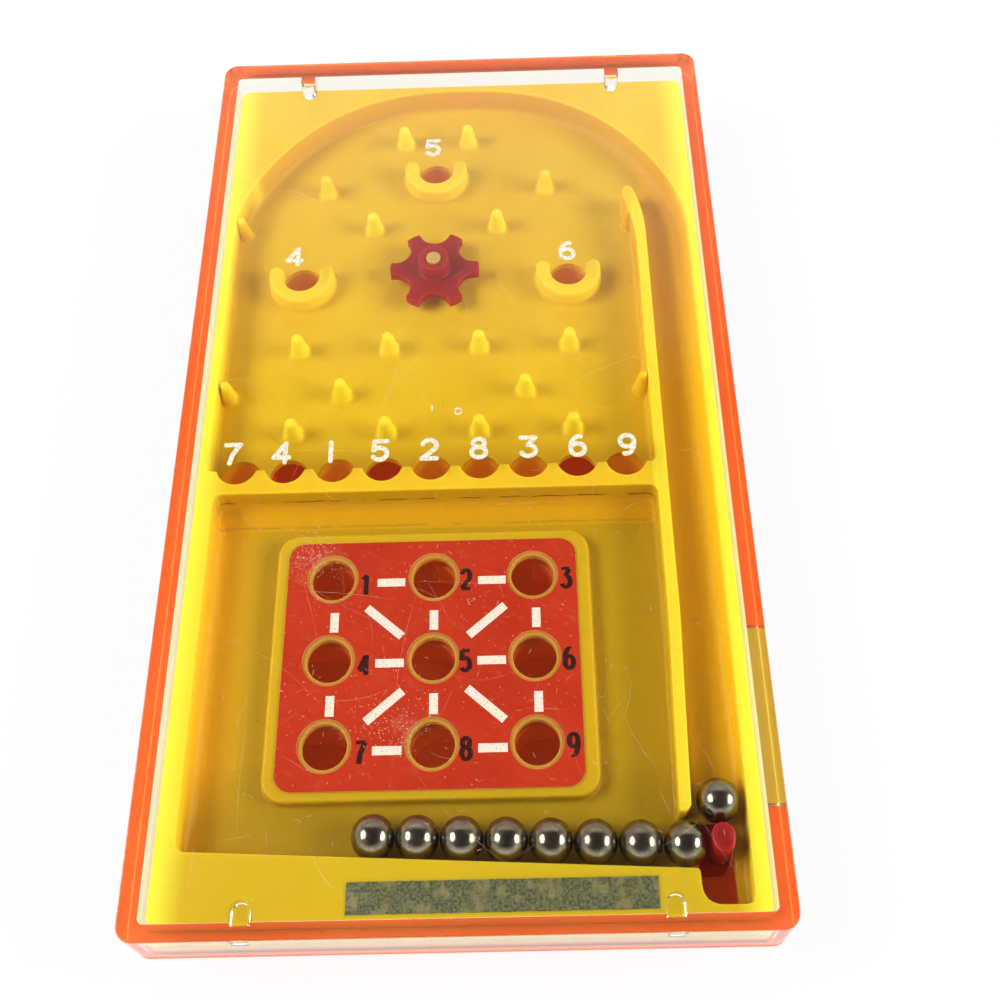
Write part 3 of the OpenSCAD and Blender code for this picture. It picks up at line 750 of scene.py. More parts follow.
DIGITS = {
    "1": [[(0.5, 0), (0.5, 1)]],
    "2": [arc(0.5, 0.7, 0.46, 0.3, 165, -32) + [(0.04, 0.02)], [(0, 0), (1, 0)]],
    "3": [[(0.02, 1), (0.98, 1)], [(0.93, 0.96), (0.48, 0.6)], arc(0.5, 0.3, 0.48, 0.3, 92, -158)],
    "4": [[(0.74, 0), (0.74, 1)], [(0.7, 0.98), (0.03, 0.27)], [(0, 0.25), (1, 0.25)]],
    "5": [[(0.95, 1), (0.12, 1)], [(0.14, 1), (0.07, 0.52)], arc(0.48, 0.32, 0.48, 0.32, 142, -150)],
    "6": [arc(0.5, 0.31, 0.46, 0.31, 180, 0), arc(0.5, 0.31, 0.46, 0.31, 0, -180),
          arc(0.6, 0.36, 0.56, 0.64, 184, 78)],
    "7": [[(0.02, 1), (1, 1)], [(0.94, 0.98), (0.5, 0.45), (0.36, 0)]],
    "8": [arc(0.5, 0.77, 0.38, 0.23, 180, 0), arc(0.5, 0.77, 0.38, 0.23, 0, -180),
          arc(0.5, 0.28, 0.47, 0.28, 180, 0), arc(0.5, 0.28, 0.47, 0.28, 0, -180)],
}
DIGITS["9"] = [[(1 - x, 1 - y) for x, y in path] for path in DIGITS["6"]]


def strokes(mark, middle, size, width, ends=9):
    """Outlines of a digit's strokes. Where the pen is wider across than up, the paths are drawn narrow and
    widened again: width holds (across, up)."""
    squeeze = np.array([width[1]/width[0], 1])
    for path in DIGITS[mark]:
        placed = np.array(middle) + (np.array(path) - 0.5)*(np.array(size) - width)
        yield ribbon(placed*squeeze, width[1], ends)/squeeze


print(len(DIGITS), "digits")

# %% [markdown]
# A loop, as in a 6 or an 8, is drawn as two half loops, because a stroke that met itself would have an
# open seam. Each stroke is a closed solid that reaches into the window and is rounded at its lower edge.

# %% Raise the figures under the window
LID_FIGURES = [("5", MID_X - 0.15, 43.8), ("4", MID_X - 18.55, 25.3), ("6", MID_X + 18.05, 25.1)]
LID_FIGURES += [(mark, x, -4.45) for mark, x in zip("741528369", ROW_HOLES[:, 0])]
LID_FIGURE_SIZE, LID_PEN = (2.42, 3.1), (0.56, 0.56)
ridges = Skin()


def ridge(outline, rows):
    """One stroke that hangs down from the window, from rows of (push, height), highest first."""
    rings = carry(ridges, outline[::-1], [(-push, z) for push, z in rows])
    ridges.fill(rings[:1])
    ridges.fill(rings[-1:], up=False)


for mark, x, y in LID_FIGURES:
    for k, outline in enumerate(strokes(mark, (x, y), LID_FIGURE_SIZE, LID_PEN)):
        ridge(outline, [(0, WINDOW_FOOT + 0.05 + 0.01*k)]
              + [(-w, WINDOW_FOOT - 0.22 + d) for w, d in rounding(0.17)])

# Two marks of the mould: a small ring and a short line.
ring_mark = [arc(MID_X + 3.5, 0.8, 0.42, 0.42, start, start + 180, 12) for start in (0, 180)]
for path in (*ring_mark, [(MID_X + 0.25, 1), (MID_X + 0.25, 1.6)]):
    ridge(ribbon(path, 0.16), [(0, WINDOW_FOOT + 0.05), (0, WINDOW_FOOT - 0.1)])
figures = ridges.mesh("raised_figures")
print(len(LID_FIGURES), "raised figures")

# %% [markdown]
# Years in pockets left the window full of hairline scratches. They are flat ribbons a few hundredths of a
# millimetre wide and slightly bent, most of them near the length of the case, and small ticks over the
# near half. Where it was set down on grit, fine dots crowd together. The seed is fixed.

# %% Scratch the window
HAIRS, LONG_HAIRS = 420, 200
HEADINGS = [80, 100, 35, 150, 5]

# Place, spread and count of the dots.
SCUFFS = [((-17, -18.6), (1.6, 1.5), 420), ((-7, -38.6), (2.2, 1.6), 260), ((-3, -29), (9, 9), 220)]
SCRATCH_Z = TOP + 0.004
rng = np.random.default_rng(7)
hairs = Skin()
for k in range(HAIRS):
    tick = k >= LONG_HAIRS
    length = rng.uniform(0.2, 0.8) if tick else 1.5 + rng.exponential(4.5)
    heading = math.radians(rng.choice(HEADINGS) + rng.normal(0, 16))
    way = np.array([math.cos(heading), math.sin(heading)])
    start = rng.uniform([-CASE_X + 3, -CASE_Y + 3], [CASE_X - 3, -10 if tick else CASE_Y - 3])
    s = np.linspace(-0.5, 0.5, 6)[:, None]
    bend = rng.normal(0, 0.05)*length
    path = start + way*s*length + np.array([-way[1], way[0]])*(1 - 4*s**2)*bend
    if np.all(np.abs(path) < [CASE_X - 1, CASE_Y - 1]):
        half = rng.uniform(0.005, 0.015)*(1 + 1.2*tick)*np.sqrt(np.clip(1 - (2*s)**2, 0.02, 1))
        side = np.array([-way[1], way[0]])*half
        hairs.fill([hairs.ring(np.concatenate([path - side, (path + side)[::-1]]), SCRATCH_Z)])
for spot, spread, count in SCUFFS:
    for middle in rng.normal(spot, spread, (count, 2)):
        dot = turned(rng.uniform(0, 90) + np.arange(4)*90, rng.uniform(0.03, 0.09), middle)
        hairs.fill([hairs.ring(dot, SCRATCH_Z)])
hair = hairs.mesh("window_scratches")
print("scratches", len(hair.data.polygons), "faces")

# %% [markdown]
# ## The target label and the foil strip
#
# The label is a printed sheet with nine holes, each a little wider than the bore under it, so a yellow
# ring shows. Black condensed figures and white dashes are printed on it as films of ink.

# %% Cut the label
LABEL_HOLE_R = 3.05
LABEL_FOOT = BLOCK_TOP + 0.005
label_low, label_high = span("target_label")
sheet = Skin()
label_outline = rounded(label_low[0], label_high[0], label_low[1], label_high[1], 2, 12)
rim_rows = [(0, LABEL_FOOT), (0, LABEL_TOP - 0.03), (-0.03, LABEL_TOP), (-0.1, LABEL_TOP)]
rim = carry(sheet, label_outline, rim_rows)
hole_rows = [(LABEL_HOLE_R + 0.07, LABEL_TOP), (LABEL_HOLE_R + 0.03, LABEL_TOP),
             (LABEL_HOLE_R, LABEL_TOP - 0.03), (LABEL_HOLE_R, LABEL_FOOT)]
bores = []
for spot in TARGETS:
    rings = [sheet.ring(turned(np.arange(48)*7.5, r, spot), z) for r, z in hole_rows]
    bores.append(sheet.tower(rings))
sheet.fill([rim[-1]] + [b[0] for b in bores])
sheet.fill([rim[0]] + [b[-1] for b in bores], up=False)
label = sheet.mesh("printed_label")
print("label", len(label.data.polygons), "faces")

# %% Print the figures and the dashes
FIGURE_AT = [(-11.2, -19.95), (0.7, -19.5), (12.6, -19.6), (-11.1, -29.75), (0.65, -29.5), (12.6, -29.5),
             (-11.1, -39.85), (0.7, -39.6), (12.7, -39.4)]
FIGURE_SIZE, FIGURE_PEN = (1.65, 2.8), (0.6, 0.42)
black = Skin()
for mark, spot in zip("123456789", FIGURE_AT):
    for k, outline in enumerate(strokes(mark, spot, FIGURE_SIZE, FIGURE_PEN, 2)):
        black.fill([black.ring(outline, LABEL_TOP + 0.008 + 0.002*k)])
    if mark == "1":
        flag = ribbon([np.array(spot) + (0.05, 1.3), np.array(spot) + (-0.5, 0.8)], 0.34, 2)
        black.fill([black.ring(flag, LABEL_TOP + 0.01)])
black_ink = black.mesh("printed_figures")

# The left end of each level dash, the middle of each upright one, and both ends of each slanting one.
LEVEL = [(-9.85, -19.7), (2.15, -19.66), (-9.78, -29.6), (2.02, -29.5), (-9.79, -39.64), (2.05, -39.57)]
UPRIGHT = [(-14.75, -24.57), (-3.06, -24.5), (8.94, -24.46), (-14.8, -34.5), (-2.99, -34.46), (8.94, -34.47)]
DASHES = [((x, y), (x + 3.3, y)) for x, y in LEVEL] + [((x, y - 1.2), (x, y + 1.2)) for x, y in UPRIGHT]
DASHES += [((-10.99, -22.84), (-6.77, -26.42)), ((5.31, -22.87), (1.02, -26.46)),
           ((-6.55, -32.9), (-10.69, -36.39)), ((0.81, -32.75), (5.09, -36.46))]
white = Skin()
for path in DASHES:
    white.fill([white.ring(ribbon(path, 1, 2), LABEL_TOP + 0.006)])
white_ink = white.mesh("printed_dashes")
print(len(FIGURE_AT), "figures and", len(DASHES), "dashes")

# %% [markdown]
# The strip on the near ledge is a worn piece of foil tape. It is a thin sheet with a slightly wavy face.

# %% Lay the foil strip
foil_low, foil_high = span("foil_strip")
tape = Skin()
corners = [(foil_low[0], foil_low[1]), (foil_high[0], foil_low[1]),
           (foil_high[0], foil_high[1]), (foil_low[0], foil_high[1])]
sides = []
for (x0, y0), (x1, y1) in zip(corners, corners[1:] + corners[:1]):
    n = max(2, int(math.hypot(x1 - x0, y1 - y0)/0.5))
    t = np.linspace(0, 1, n, endpoint=False)[:, None]
    sides.append(np.array([x0, y0]) + t*[x1 - x0, y1 - y0])
foil_outline = np.concatenate(sides)
ragged = pushed(foil_outline, -0.05 - 0.05*rng.random(len(foil_outline)))
rings = carry(tape, ragged, [(0, foil_low[2] + 0.004), (0, foil_high[2] - 0.01), (-0.03, foil_high[2])])
tape.fill(rings[:1], up=False)
tape.fill(rings[-1:])
foil = tape.mesh("foil_tape")
print("foil", len(foil.data.polygons), "faces")

# %% [markdown]
# ## Materials
#
# Colours are named as seen in neutral light and turned into linear values. Patterns are placed by object
# coordinates and sized in millimetres. One helper adds a node and fills its inputs.

# %% Helpers for materials


def srgb(code):
    """Linear colour of an sRGB hex code: ((c + 0.055)/1.055)^2.4, or c/12.92 below 0.04045."""
    c = np.array([int(code[k:k + 2], 16) for k in (1, 3, 5)])/255
    return (*np.where(c > 0.04045, ((c + 0.055)/1.055)**2.4, c/12.92).tolist(), 1)


def put(tree, socket, value):
    """Gives a socket a plain value, or links it to an output. A node stands for its first output."""
    if isinstance(value, bpy.types.Node):
        value = value.outputs[0]
    if isinstance(value, bpy.types.NodeSocket):
        tree.links.new(value, socket)
    else:
        socket.default_value = value


def add(tree, kind, inputs=(), **settings):
    """Adds a node with its settings. Its inputs are given by name or number, or in their order."""
    made = tree.nodes.new("ShaderNode" + kind)
    for key, value in settings.items():
        setattr(made, key, value)
    for key, value in (inputs if isinstance(inputs, dict) else dict(enumerate(inputs))).items():
        put(tree, made.inputs[key], value)
    return made


def material(name, **sockets):
    """A new material, its tree and its Principled shader, with these sockets set."""
    made = bpy.data.materials.new(name)
    made.use_nodes = True
    shader = made.node_tree.nodes["Principled BSDF"]
    for key, value in sockets.items():
        shader.inputs[key.replace("_", " ")].default_value = value
    return made, made.node_tree, shader


def noise(tree, size, detail=2, stretch=(1, 1, 1), turn=0):
    """Noise with features about size mm across, stretched along its own axes and turned about the upright."""
    spot = add(tree, "TexCoord").outputs["Object"]
    grid = add(tree, "Mapping", {"Vector": spot, "Rotation": (0, 0, math.radians(turn)),
                                 "Scale": [MM*size*s for s in stretch]}, vector_type="TEXTURE")
    return add(tree, "TexNoise", {"Vector": grid, "Scale": 1, "Detail": detail})


def over(tree, under, share, code):
    """A colour laid over another by a share. The one below is a hex code or comes from a node."""
    below = srgb(under) if isinstance(under, str) else under
    return add(tree, "Mix", {0: share, 6: below, 7: srgb(code)}, data_type="RGBA").outputs[2]


def ramp(tree, place, start, end, first=0.0, last=1.0):
    """A share that goes from first to last along a place, from start to end in millimetres."""
    return add(tree, "MapRange", (place, start*MM, end*MM, first, last))


def product(tree, first, *others):
    """Shares times each other: what all of them let through."""
    for other in others:
        first = add(tree, "Math", (first, other), operation="MULTIPLY")
    return first


def band(tree, place, low, high, soft=0.3):
    """One between low and high, in millimetres, and nothing from soft beyond them."""
    return product(tree, ramp(tree, place, low - soft, low), ramp(tree, place, high + soft, high))


def dress(obj, made, body, slot, *nodes):
    """Gives a piece its material, its body and the CAD nodes that it stands for. Its slot is not used."""
    obj.data.materials.clear()
    obj.data.materials.append(made)
    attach(obj, body)
    if nodes:
        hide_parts(*nodes)


print("material helpers are ready")

# %% [markdown]
# Moulded polystyrene is glossy with a slight swirl of colour from the melt, a skin of fine rub marks, and
# dust with painted shade where a wall meets a floor. The same recipe serves the yellow, red and dark red
# parts.

# %% A recipe for moulded plastic
MELT_GLOW = (0.8, (1, 0.4, 0.05), 2.0)


def moulded(name, light, deep, dust_and_shade_colour, gloss=0.32, dust_and_shade_share=0.5, glow=MELT_GLOW, tone=None):
    """Melt-swirled plastic that light soaks into. Dust and painted shade darken it where it is hidden from
    itself.

    glow is the share of soaked light, how far each colour travels against the others, and that reach
    in mm. tone is a function of the tree and the colour that returns the colour of each place."""
    share, travel, reach = glow
    made, tree, shader = material(name, IOR=1.5, Specular_IOR_Level=0.2, Subsurface_Weight=share,
                                  Subsurface_Radius=travel, Subsurface_Scale=reach*MM)
    swirl = add(tree, "MapRange", (noise(tree, 16, 3, (1, 2.2, 1)), 0.3, 0.7))
    colour = over(tree, light, swirl, deep)
    if tone:
        colour = tone(tree, colour)
    hidden = add(tree, "AmbientOcclusion", {"Distance": 1.3*MM}, samples=6, only_local=True).outputs["AO"]
    patch = add(tree, "MapRange", (noise(tree, 5, 3), 0.35, 0.7))
    dust_and_corner_shade = product(tree, add(tree, "MapRange", (hidden, 0.75, 0.3)),
                   add(tree, "MapRange", (patch, 0, 1, 0.25, 1)))
    # Dust, and painted shade in corners and at the feet of walls, laid on in the dust colour.
    colour = over(tree, colour, product(tree, dust_and_corner_shade, dust_and_shade_share), dust_and_shade_colour)
    speck = add(tree, "MapRange", (noise(tree, 0.45, 1), 0.74, 0.78, 0, 0.35))
    put(tree, shader.inputs["Base Color"], over(tree, colour, speck, dust_and_shade_colour))
    rub = noise(tree, 0.5, 2, (1, 14, 1), 12)
    rough = add(tree, "MapRange", (rub, 0.35, 0.75, gloss, gloss + 0.1))
    dull = add(tree, "Math", (rough, product(tree, dust_and_corner_shade, 0.3)), operation="ADD")
    put(tree, shader.inputs["Roughness"], dull)
    uneven = add(tree, "Math", (noise(tree, 4, 2), product(tree, rub, 0.08)), operation="ADD")
    dents = add(tree, "Bump", {"Height": uneven, "Distance": 0.02*MM, "Strength": 1})
    put(tree, shader.inputs["Normal"], dents)
    return made


print("the recipe is ready")

# %% [markdown]
# Much of the yellow plastic's light and shade is painted into its colour as tones. Each tone is a share
# between 0 and 1 that is made of ramps along X, Y and Z in millimetres.

# %% Places on the tray


def places(tree):
    """X, Y and Z of the shaded point, how far it lies from the middle plane, and its place on the plan."""
    spot = add(tree, "SeparateXYZ", {0: add(tree, "TexCoord").outputs["Object"]}).outputs
    aside = add(tree, "Math", (spot["X"],), operation="ABSOLUTE")
    flat = add(tree, "CombineXYZ", (spot["X"], spot["Y"]))
    return {axis: spot[axis] for axis in "XYZ"} | {"aside": aside, "flat": flat}


def on_tray(tree):
    """The same, and how low a point of the tray lies: 0 at its rim and 1 at its floor."""
    spot = places(tree)
    return spot | {"low": ramp(tree, spot["Z"], RIM, FLOOR + 0.3)}


print("places are ready")

# %% [markdown]
# Painted shade deepens the floor, most in the near half, and painted light lifts the lane and the foot of
# the left wall. Pins and cups get painted light that makes them paler, the wall of the arch gets an ochre
# painted shade, and the target block shows brown rings round its holes.

# %% Tones of the floor, the pins and the block


def floor_tone(tree, colour, spot):
    """Painted shade: deep yellow floor, more in the near half. Painted light: fuller in the lane, warm by the
    left wall.
    """
    # Painted shade on the floor, stronger in the near half.
    near_half = ramp(tree, spot["Y"], 4, -9)
    floor_shade = product(tree, spot["low"], add(tree, "MapRange", (near_half, 0, 1, 0.25, 1)))
    colour = over(tree, colour, floor_shade, "#cca408")
    # Painted light in the lane.
    lane_light = product(tree, ramp(tree, spot["X"], LANE_X - 0.3, LANE_X + 0.3),
                      add(tree, "MapRange", (spot["low"], 0.3, 0.8)))
    colour = over(tree, colour, lane_light, "#fac60c")
    # Painted light on the foot of the pocket's left wall.
    beside = product(tree, ramp(tree, spot["X"], FIELD_L + 7, FIELD_L + 1.5),
                     ramp(tree, spot["Y"], LEDGE_FRONT, LEDGE_FRONT - 1),
                     add(tree, "MapRange", (spot["low"], 0.1, 0.4)))
    return over(tree, colour, beside, "#ffbe1c")


def standing_tone(tree, colour, spot):
    """Painted light pales what stands on the field, less so the cups; painted shade turns the arch's wall
    ochre.

    The field's inside is taken as a broad band up to Y 40 and a narrow one up to Y 53."""
    across = add(tree, "Math", (spot["X"], -MID_X*MM), operation="ADD")
    from_middle = add(tree, "Math", (across,), operation="ABSOLUTE")
    broad = product(tree, ramp(tree, from_middle, 26.5, 25.5), ramp(tree, spot["Y"], 42, 40))
    narrow = product(tree, ramp(tree, from_middle, 11, 10), ramp(tree, spot["Y"], 54, 53))
    either = add(tree, "Math", (broad, narrow), operation="MAXIMUM")
    inner = product(tree, either, ramp(tree, spot["Y"], -3, -2))
    near_cup = 0.0
    for x, y in CUPS:
        away = add(tree, "VectorMath", (spot["flat"], (x*MM, y*MM, 0)), operation="DISTANCE").outputs["Value"]
        near_one = ramp(tree, away, CUP_R + 0.9, CUP_R + 0.4)
        near_cup = add(tree, "Math", (near_one, near_cup), operation="MAXIMUM")
    # Painted light on the pins and cups, weaker on the cups.
    standing_light = product(tree, inner, ramp(tree, spot["Z"], FLOOR + 0.02, FLOOR + 0.6),
                       add(tree, "MapRange", (near_cup, 0, 1, 0.9, 0.5)))
    colour = over(tree, colour, standing_light, "#ffe434")
    # Painted ochre shade on the wall of the arch.
    arch_wall_shade = product(tree, add(tree, "MapRange", (inner, 1, 0)), ramp(tree, spot["Y"], 10, 30),
                        band(tree, spot["Z"], FLOOR + 0.3, RIM - 0.5), 0.55)
    return over(tree, colour, arch_wall_shade, "#d89814")


def block_tone(tree, colour, spot):
    """Brown yellow on the target block under the label."""
    under_label = product(tree, band(tree, spot["X"], label_low[0] + 1, label_high[0] - 1),
                          band(tree, spot["Y"], label_low[1] + 1, label_high[1] - 1),
                          band(tree, spot["Z"], FLOOR + 0.6, BLOCK_TOP + 0.3), 0.9)
    return over(tree, colour, under_label, "#cc8e3c")


print("tones of the field are ready")

# %% [markdown]
# Under the scoring holes the ledge drops into the pocket. Its face is deep yellow, the floor at its foot
# is fuller, and a broken dark line runs along each. The rim gets painted light, pale and greenish yellow
# towards the lid's walls, where lamp light comes in through them to its edge.

# %% Tones of the pocket and the rim


def ledge_tone(tree, colour, spot):
    """Deep yellow on the ledge's face, fuller yellow on the floor before it, and two broken dark lines."""
    face = product(tree, ramp(tree, spot["Y"], 0, -3), ramp(tree, spot["Y"], LEDGE_FRONT - 2, LEDGE_FRONT),
                   ramp(tree, spot["X"], LANE_X, LANE_X - 2),
                   add(tree, "MapRange", (spot["low"], 0.03, 0.15)))
    colour = over(tree, colour, face, "#cc9e06")
    by_ledge = product(tree, band(tree, spot["Y"], LEDGE_FRONT - 3.2, LEDGE_FRONT + 0.5),
                       band(tree, spot["X"], FIELD_L + 2, LANE_X - 2, 0.8))
    at_foot = product(tree, by_ledge, add(tree, "MapRange", (spot["low"], 0.6, 0.95)), 0.6)
    colour = over(tree, colour, at_foot, "#ecb20c")
    # Two broken dark lines, one along the ledge's face and one on the floor before it.
    ragged = product(tree, add(tree, "Math", (noise(tree, 1.2, 4), -0.5), operation="ADD"), 0.7*MM)
    broken = add(tree, "MapRange", (noise(tree, 3, 2), 0.4, 0.52))
    for place, middle, sway, share in ((spot["Z"], FLOOR + 1.3, 1.0, 0.8),
                                       (spot["Y"], LEDGE_FRONT - 2.9, 0.3, 0.2)):
        wavy = add(tree, "Math", (place, product(tree, ragged, sway)), operation="ADD")
        line = product(tree, band(tree, wavy, middle - 0.12, middle + 0.12, 0.08), by_ledge, broken, share)
        colour = over(tree, colour, line, "#5a4208")
    return colour


def pocket_tone(tree, colour, spot):
    """Painted olive shade at the near end of the pocket's floor, and a little greener on the near ledge."""
    # Painted shade at the near end of the pocket's floor.
    near_end_shade = product(tree, ramp(tree, spot["Y"], -40, -47),
                       add(tree, "MapRange", (spot["low"], 0.5, 0.9)), 0.6)
    colour = over(tree, colour, near_end_shade, "#a88604")
    near_ledge = product(tree, ramp(tree, spot["Y"], NEAR + 10, NEAR + 7),
                         add(tree, "MapRange", (spot["low"], 0.3, 0)),
                         ramp(tree, spot["X"], -30, 10, 0.6, 0.9))
    return over(tree, colour, near_ledge, "#d8b818")


def rim_tone(tree, colour, spot):
    """Painted light: pale yellow on the rim near the lid's walls and on the lane wall's top. The tab is dull.
    """
    # Painted light on the top of the lane's wall.
    wall_top_light = product(tree, band(tree, spot["X"], LANE_X - LANE_WALL - 0.3, LANE_X + 0.2),
                       band(tree, spot["Y"], NEAR + 10, LANE_TOP + 4, 4),
                       add(tree, "MapRange", (spot["low"], 0.1, 0.02)), 0.5)
    # Painted light on the rim towards the lid's walls, where light comes in through them.
    edge = product(tree, ramp(tree, spot["aside"], TRAY_X - 3.6, TRAY_X - 0.9),
                   add(tree, "MapRange", (spot["low"], 0.95, 0.1)))
    colour = over(tree, colour, add(tree, "Math", (edge, wall_top_light), operation="MAXIMUM"), "#fff240")
    return over(tree, colour, ramp(tree, spot["aside"], TRAY_X, TRAY_X + 0.05), "#d2b04c")


def tray_tone(tree, colour):
    """All the tones of the tray, one laid over the other."""
    spot = on_tray(tree)
    for tone in (floor_tone, standing_tone, block_tone, ledge_tone, pocket_tone, rim_tone):
        colour = tone(tree, colour, spot)
    return colour


print("tones of the pocket and the rim are ready")

# %% [markdown]
# Light that has soaked into the plastic leaves again into the closed space under the tray, and fills the
# channels with a warm dusk. So few rays find their way in there that the picture would be grainy, so the
# walls inside the tub get that light as a weak glow of their own.

# %% Light inside the case


def in_tub(tree, spot):
    """One for what lies within the tub's walls."""
    inner_x, inner_y = TUB_X - BASE_WALL, TUB_Y - BASE_WALL
    return product(tree, ramp(tree, spot["aside"], inner_x + 0.1, inner_x),
                   ramp(tree, add(tree, "Math", (spot["Y"],), operation="ABSOLUTE"), inner_y + 0.1, inner_y))


def lit_inside(made, top, strength, colour):
    """A glow of the walls in the tub, from its floor up to a height.

    Strength and colour are plain values or come from the material's nodes."""
    tree = made.node_tree
    shader = tree.nodes["Principled BSDF"]
    spot = places(tree)
    put(tree, shader.inputs["Emission Color"], colour)
    glow = product(tree, in_tub(tree, spot), ramp(tree, spot["Z"], BASE_FLOOR - 0.1, BASE_FLOOR),
                   ramp(tree, spot["Z"], top, top - 0.3), strength)
    put(tree, shader.inputs["Emission Strength"], glow)


def channel_ends(tree):
    """One where a channel ends under a hole of the tray. There the red is painted brown for the yellow
    plastic's light.

    The channels under columns -3, -1 and 3 run through below the scoring holes and aren't ends there."""
    spot = places(tree)
    half = CHANNEL_W/2 + 0.1
    through = 0.0
    for k in (-3, -1, 3):
        column = band(tree, spot["X"], row_x(k) - half, row_x(k) + half)
        through = add(tree, "Math", (column, through), operation="MAXIMUM")
    beside = add(tree, "MapRange", (through, 1, 0))
    ends = add(tree, "Math", (beside, ramp(tree, spot["Y"], 12, 16)), operation="MAXIMUM")
    return product(tree, ends, ramp(tree, spot["Z"], TRAY_FOOT - 0.02, TRAY_FOOT - 0.1),
                   ramp(tree, spot["Z"], BASE_FLOOR - 0.2, BASE_FLOOR - 0.1),
                   ramp(tree, spot["Y"], HOLE_Y - 3.5, HOLE_Y - 2.5), in_tub(tree, spot))


def base_tone(tree, colour):
    """Painted light: orange brown at the channels' ends, for light that the yellow tray passes down."""
    return over(tree, colour, channel_ends(tree), "#d4980f")


print("light in the case is ready")

# %% [markdown]
# The tray is a bright yellow, the base an orange red, the plunger a deeper red and the star a dark red.
# The axle pin is a pale one. The share of dust and painted corner shade is small on the big ones.

# %% Mix the moulded plastics
yellow = moulded("moulded_yellow_polystyrene", "#f8d024", "#eec016", "#8a6c14", gloss=0.42, dust_and_shade_share=0.12,
                 glow=(0.7, (1, 0.85, 0.1), 1.2), tone=tray_tone)
lit_inside(yellow, FLOOR - 0.2, 0.09, srgb("#ffa020"))

red = moulded("moulded_orange_red_polystyrene", "#f87e40", "#f26e34", "#b04010", dust_and_shade_share=0.15,
              glow=(0.7, (1, 0.3, 0.06), 3.0), tone=base_tone)
ends = channel_ends(red.node_tree)
lit_inside(red, TRAY_FOOT + 0.5, add(red.node_tree, "MapRange", (ends, 0, 1, 0.055, 0.16)),
           over(red.node_tree, "#ff861c", ends, "#ff981c"))

slider_red = moulded("moulded_slider_red", "#a81c1c", "#981616", "#4a0c08",
                     glow=(0.8, (1, 0.1, 0.05), 2.0))
star_red = moulded("moulded_dark_red_polystyrene", "#b02018", "#9a1812", "#4a100c")
pale = moulded("moulded_pale_pin", "#e2b268", "#d39e55", "#6a4a24")
print("five plastics are ready")

# %% [markdown]
# The lid is clear acrylic-like plastic. Light reaches what lies below it as if it were not there, because
# bending every lamp ray would only add grain. Its figures are the same plastic with a matt face.

# %% Clear plastic, its figures and its scratches


def see_through(tree, shader, share, tint=(1, 1, 1, 1)):
    """Mixes the shader with a transparent one."""
    clear = add(tree, "BsdfTransparent", {"Color": tint})
    both = add(tree, "MixShader", (share, shader, clear))
    put(tree, tree.nodes["Material Output"].inputs["Surface"], both)


clear, tree, shader = material("clear_moulded_plastic", Base_Color=srgb("#fdfdfb"), IOR=1.49,
                               Transmission_Weight=1.0, Roughness=0.0)
dents = add(tree, "Bump", {"Height": noise(tree, 9, 1), "Distance": 0.012*MM, "Strength": 1})
put(tree, shader.inputs["Normal"], dents)
path_kind = add(tree, "LightPath").outputs
lamp_ray = add(tree, "Math", (path_kind["Is Shadow Ray"], path_kind["Is Diffuse Ray"]), operation="MAXIMUM")
see_through(tree, shader, lamp_ray, (0.93, 0.93, 0.92, 1))

frosted, tree, shader = material("matt_face_of_clear_plastic", Base_Color=srgb("#fbf5e2"), IOR=1.49,
                                 Roughness=0.4)
see_through(tree, shader, add(tree, "MapRange", (noise(tree, 0.5, 2), 0.4, 0.65, 0.08, 0.5)))

scratch, tree, shader = material("scratched_clear_plastic", Base_Color=srgb("#ffeed6"), IOR=1.49,
                                 Roughness=0.6)
see_through(tree, shader, add(tree, "MapRange", (noise(tree, 3, 2), 0.35, 0.7, 0.6, 0.9)))
print("clear plastics are ready")

# %% [markdown]
# The label is screen printed. Its orange-red ink is rubbed to a whitish bloom in two places and carries
# pin-prick losses. The black is dense, the white is thin and lets specks of grey through.

# %% Printing inks
# Place and reach of the rubbed blooms, in millimetres.
BLOOMS = (((-16.5, -18.5), 4.5), ((-6, -38.5), 4))
print_red, tree, shader = material("screen_printed_orange_red", IOR=1.5, Specular_IOR_Level=0.25)
colour = over(tree, "#cc3615", add(tree, "MapRange", (noise(tree, 9, 3), 0.3, 0.7)), "#c02e10")
rubbed = add(tree, "MapRange", (noise(tree, 0.5, 3, (1, 5, 1), 60), 0.55, 0.8))
spot = add(tree, "TexCoord").outputs["Object"]
for (x, y), reach in BLOOMS:
    middle = (x*MM, y*MM, LABEL_TOP*MM)
    away = add(tree, "VectorMath", (spot, middle), operation="DISTANCE").outputs["Value"]
    patchy = add(tree, "MapRange", (noise(tree, 1.4, 4), 0.45, 0.7, 0, 0.5))
    bloom = product(tree, ramp(tree, away, reach, 0), patchy)
    colour = over(tree, colour, bloom, "#e08a66")
colour = over(tree, colour, product(tree, rubbed, 0.03), "#eab79f")
prick = add(tree, "MapRange", (noise(tree, 0.3, 1), 0.74, 0.78, 0, 0.7))
colour = over(tree, colour, prick, "#f0b896")
cut = add(tree, "SeparateXYZ", {0: spot}).outputs["Z"]
colour = over(tree, colour, ramp(tree, cut, LABEL_TOP - 0.005, LABEL_TOP - 0.02), "#e8a860")
put(tree, shader.inputs["Base Color"], colour)
put(tree, shader.inputs["Roughness"], add(tree, "MapRange", (rubbed, 0, 1, 0.34, 0.55)))
dents = add(tree, "Bump", {"Height": noise(tree, 0.4, 2), "Distance": 0.006*MM, "Strength": 1})
put(tree, shader.inputs["Normal"], dents)

black_print, tree, shader = material("printed_black", IOR=1.5, Roughness=0.45, Specular_IOR_Level=0.2)
worn = add(tree, "MapRange", (noise(tree, 0.25, 2), 0.55, 0.7, 0, 0.6))
put(tree, shader.inputs["Base Color"], over(tree, "#2a0c08", worn, "#8a2210"))

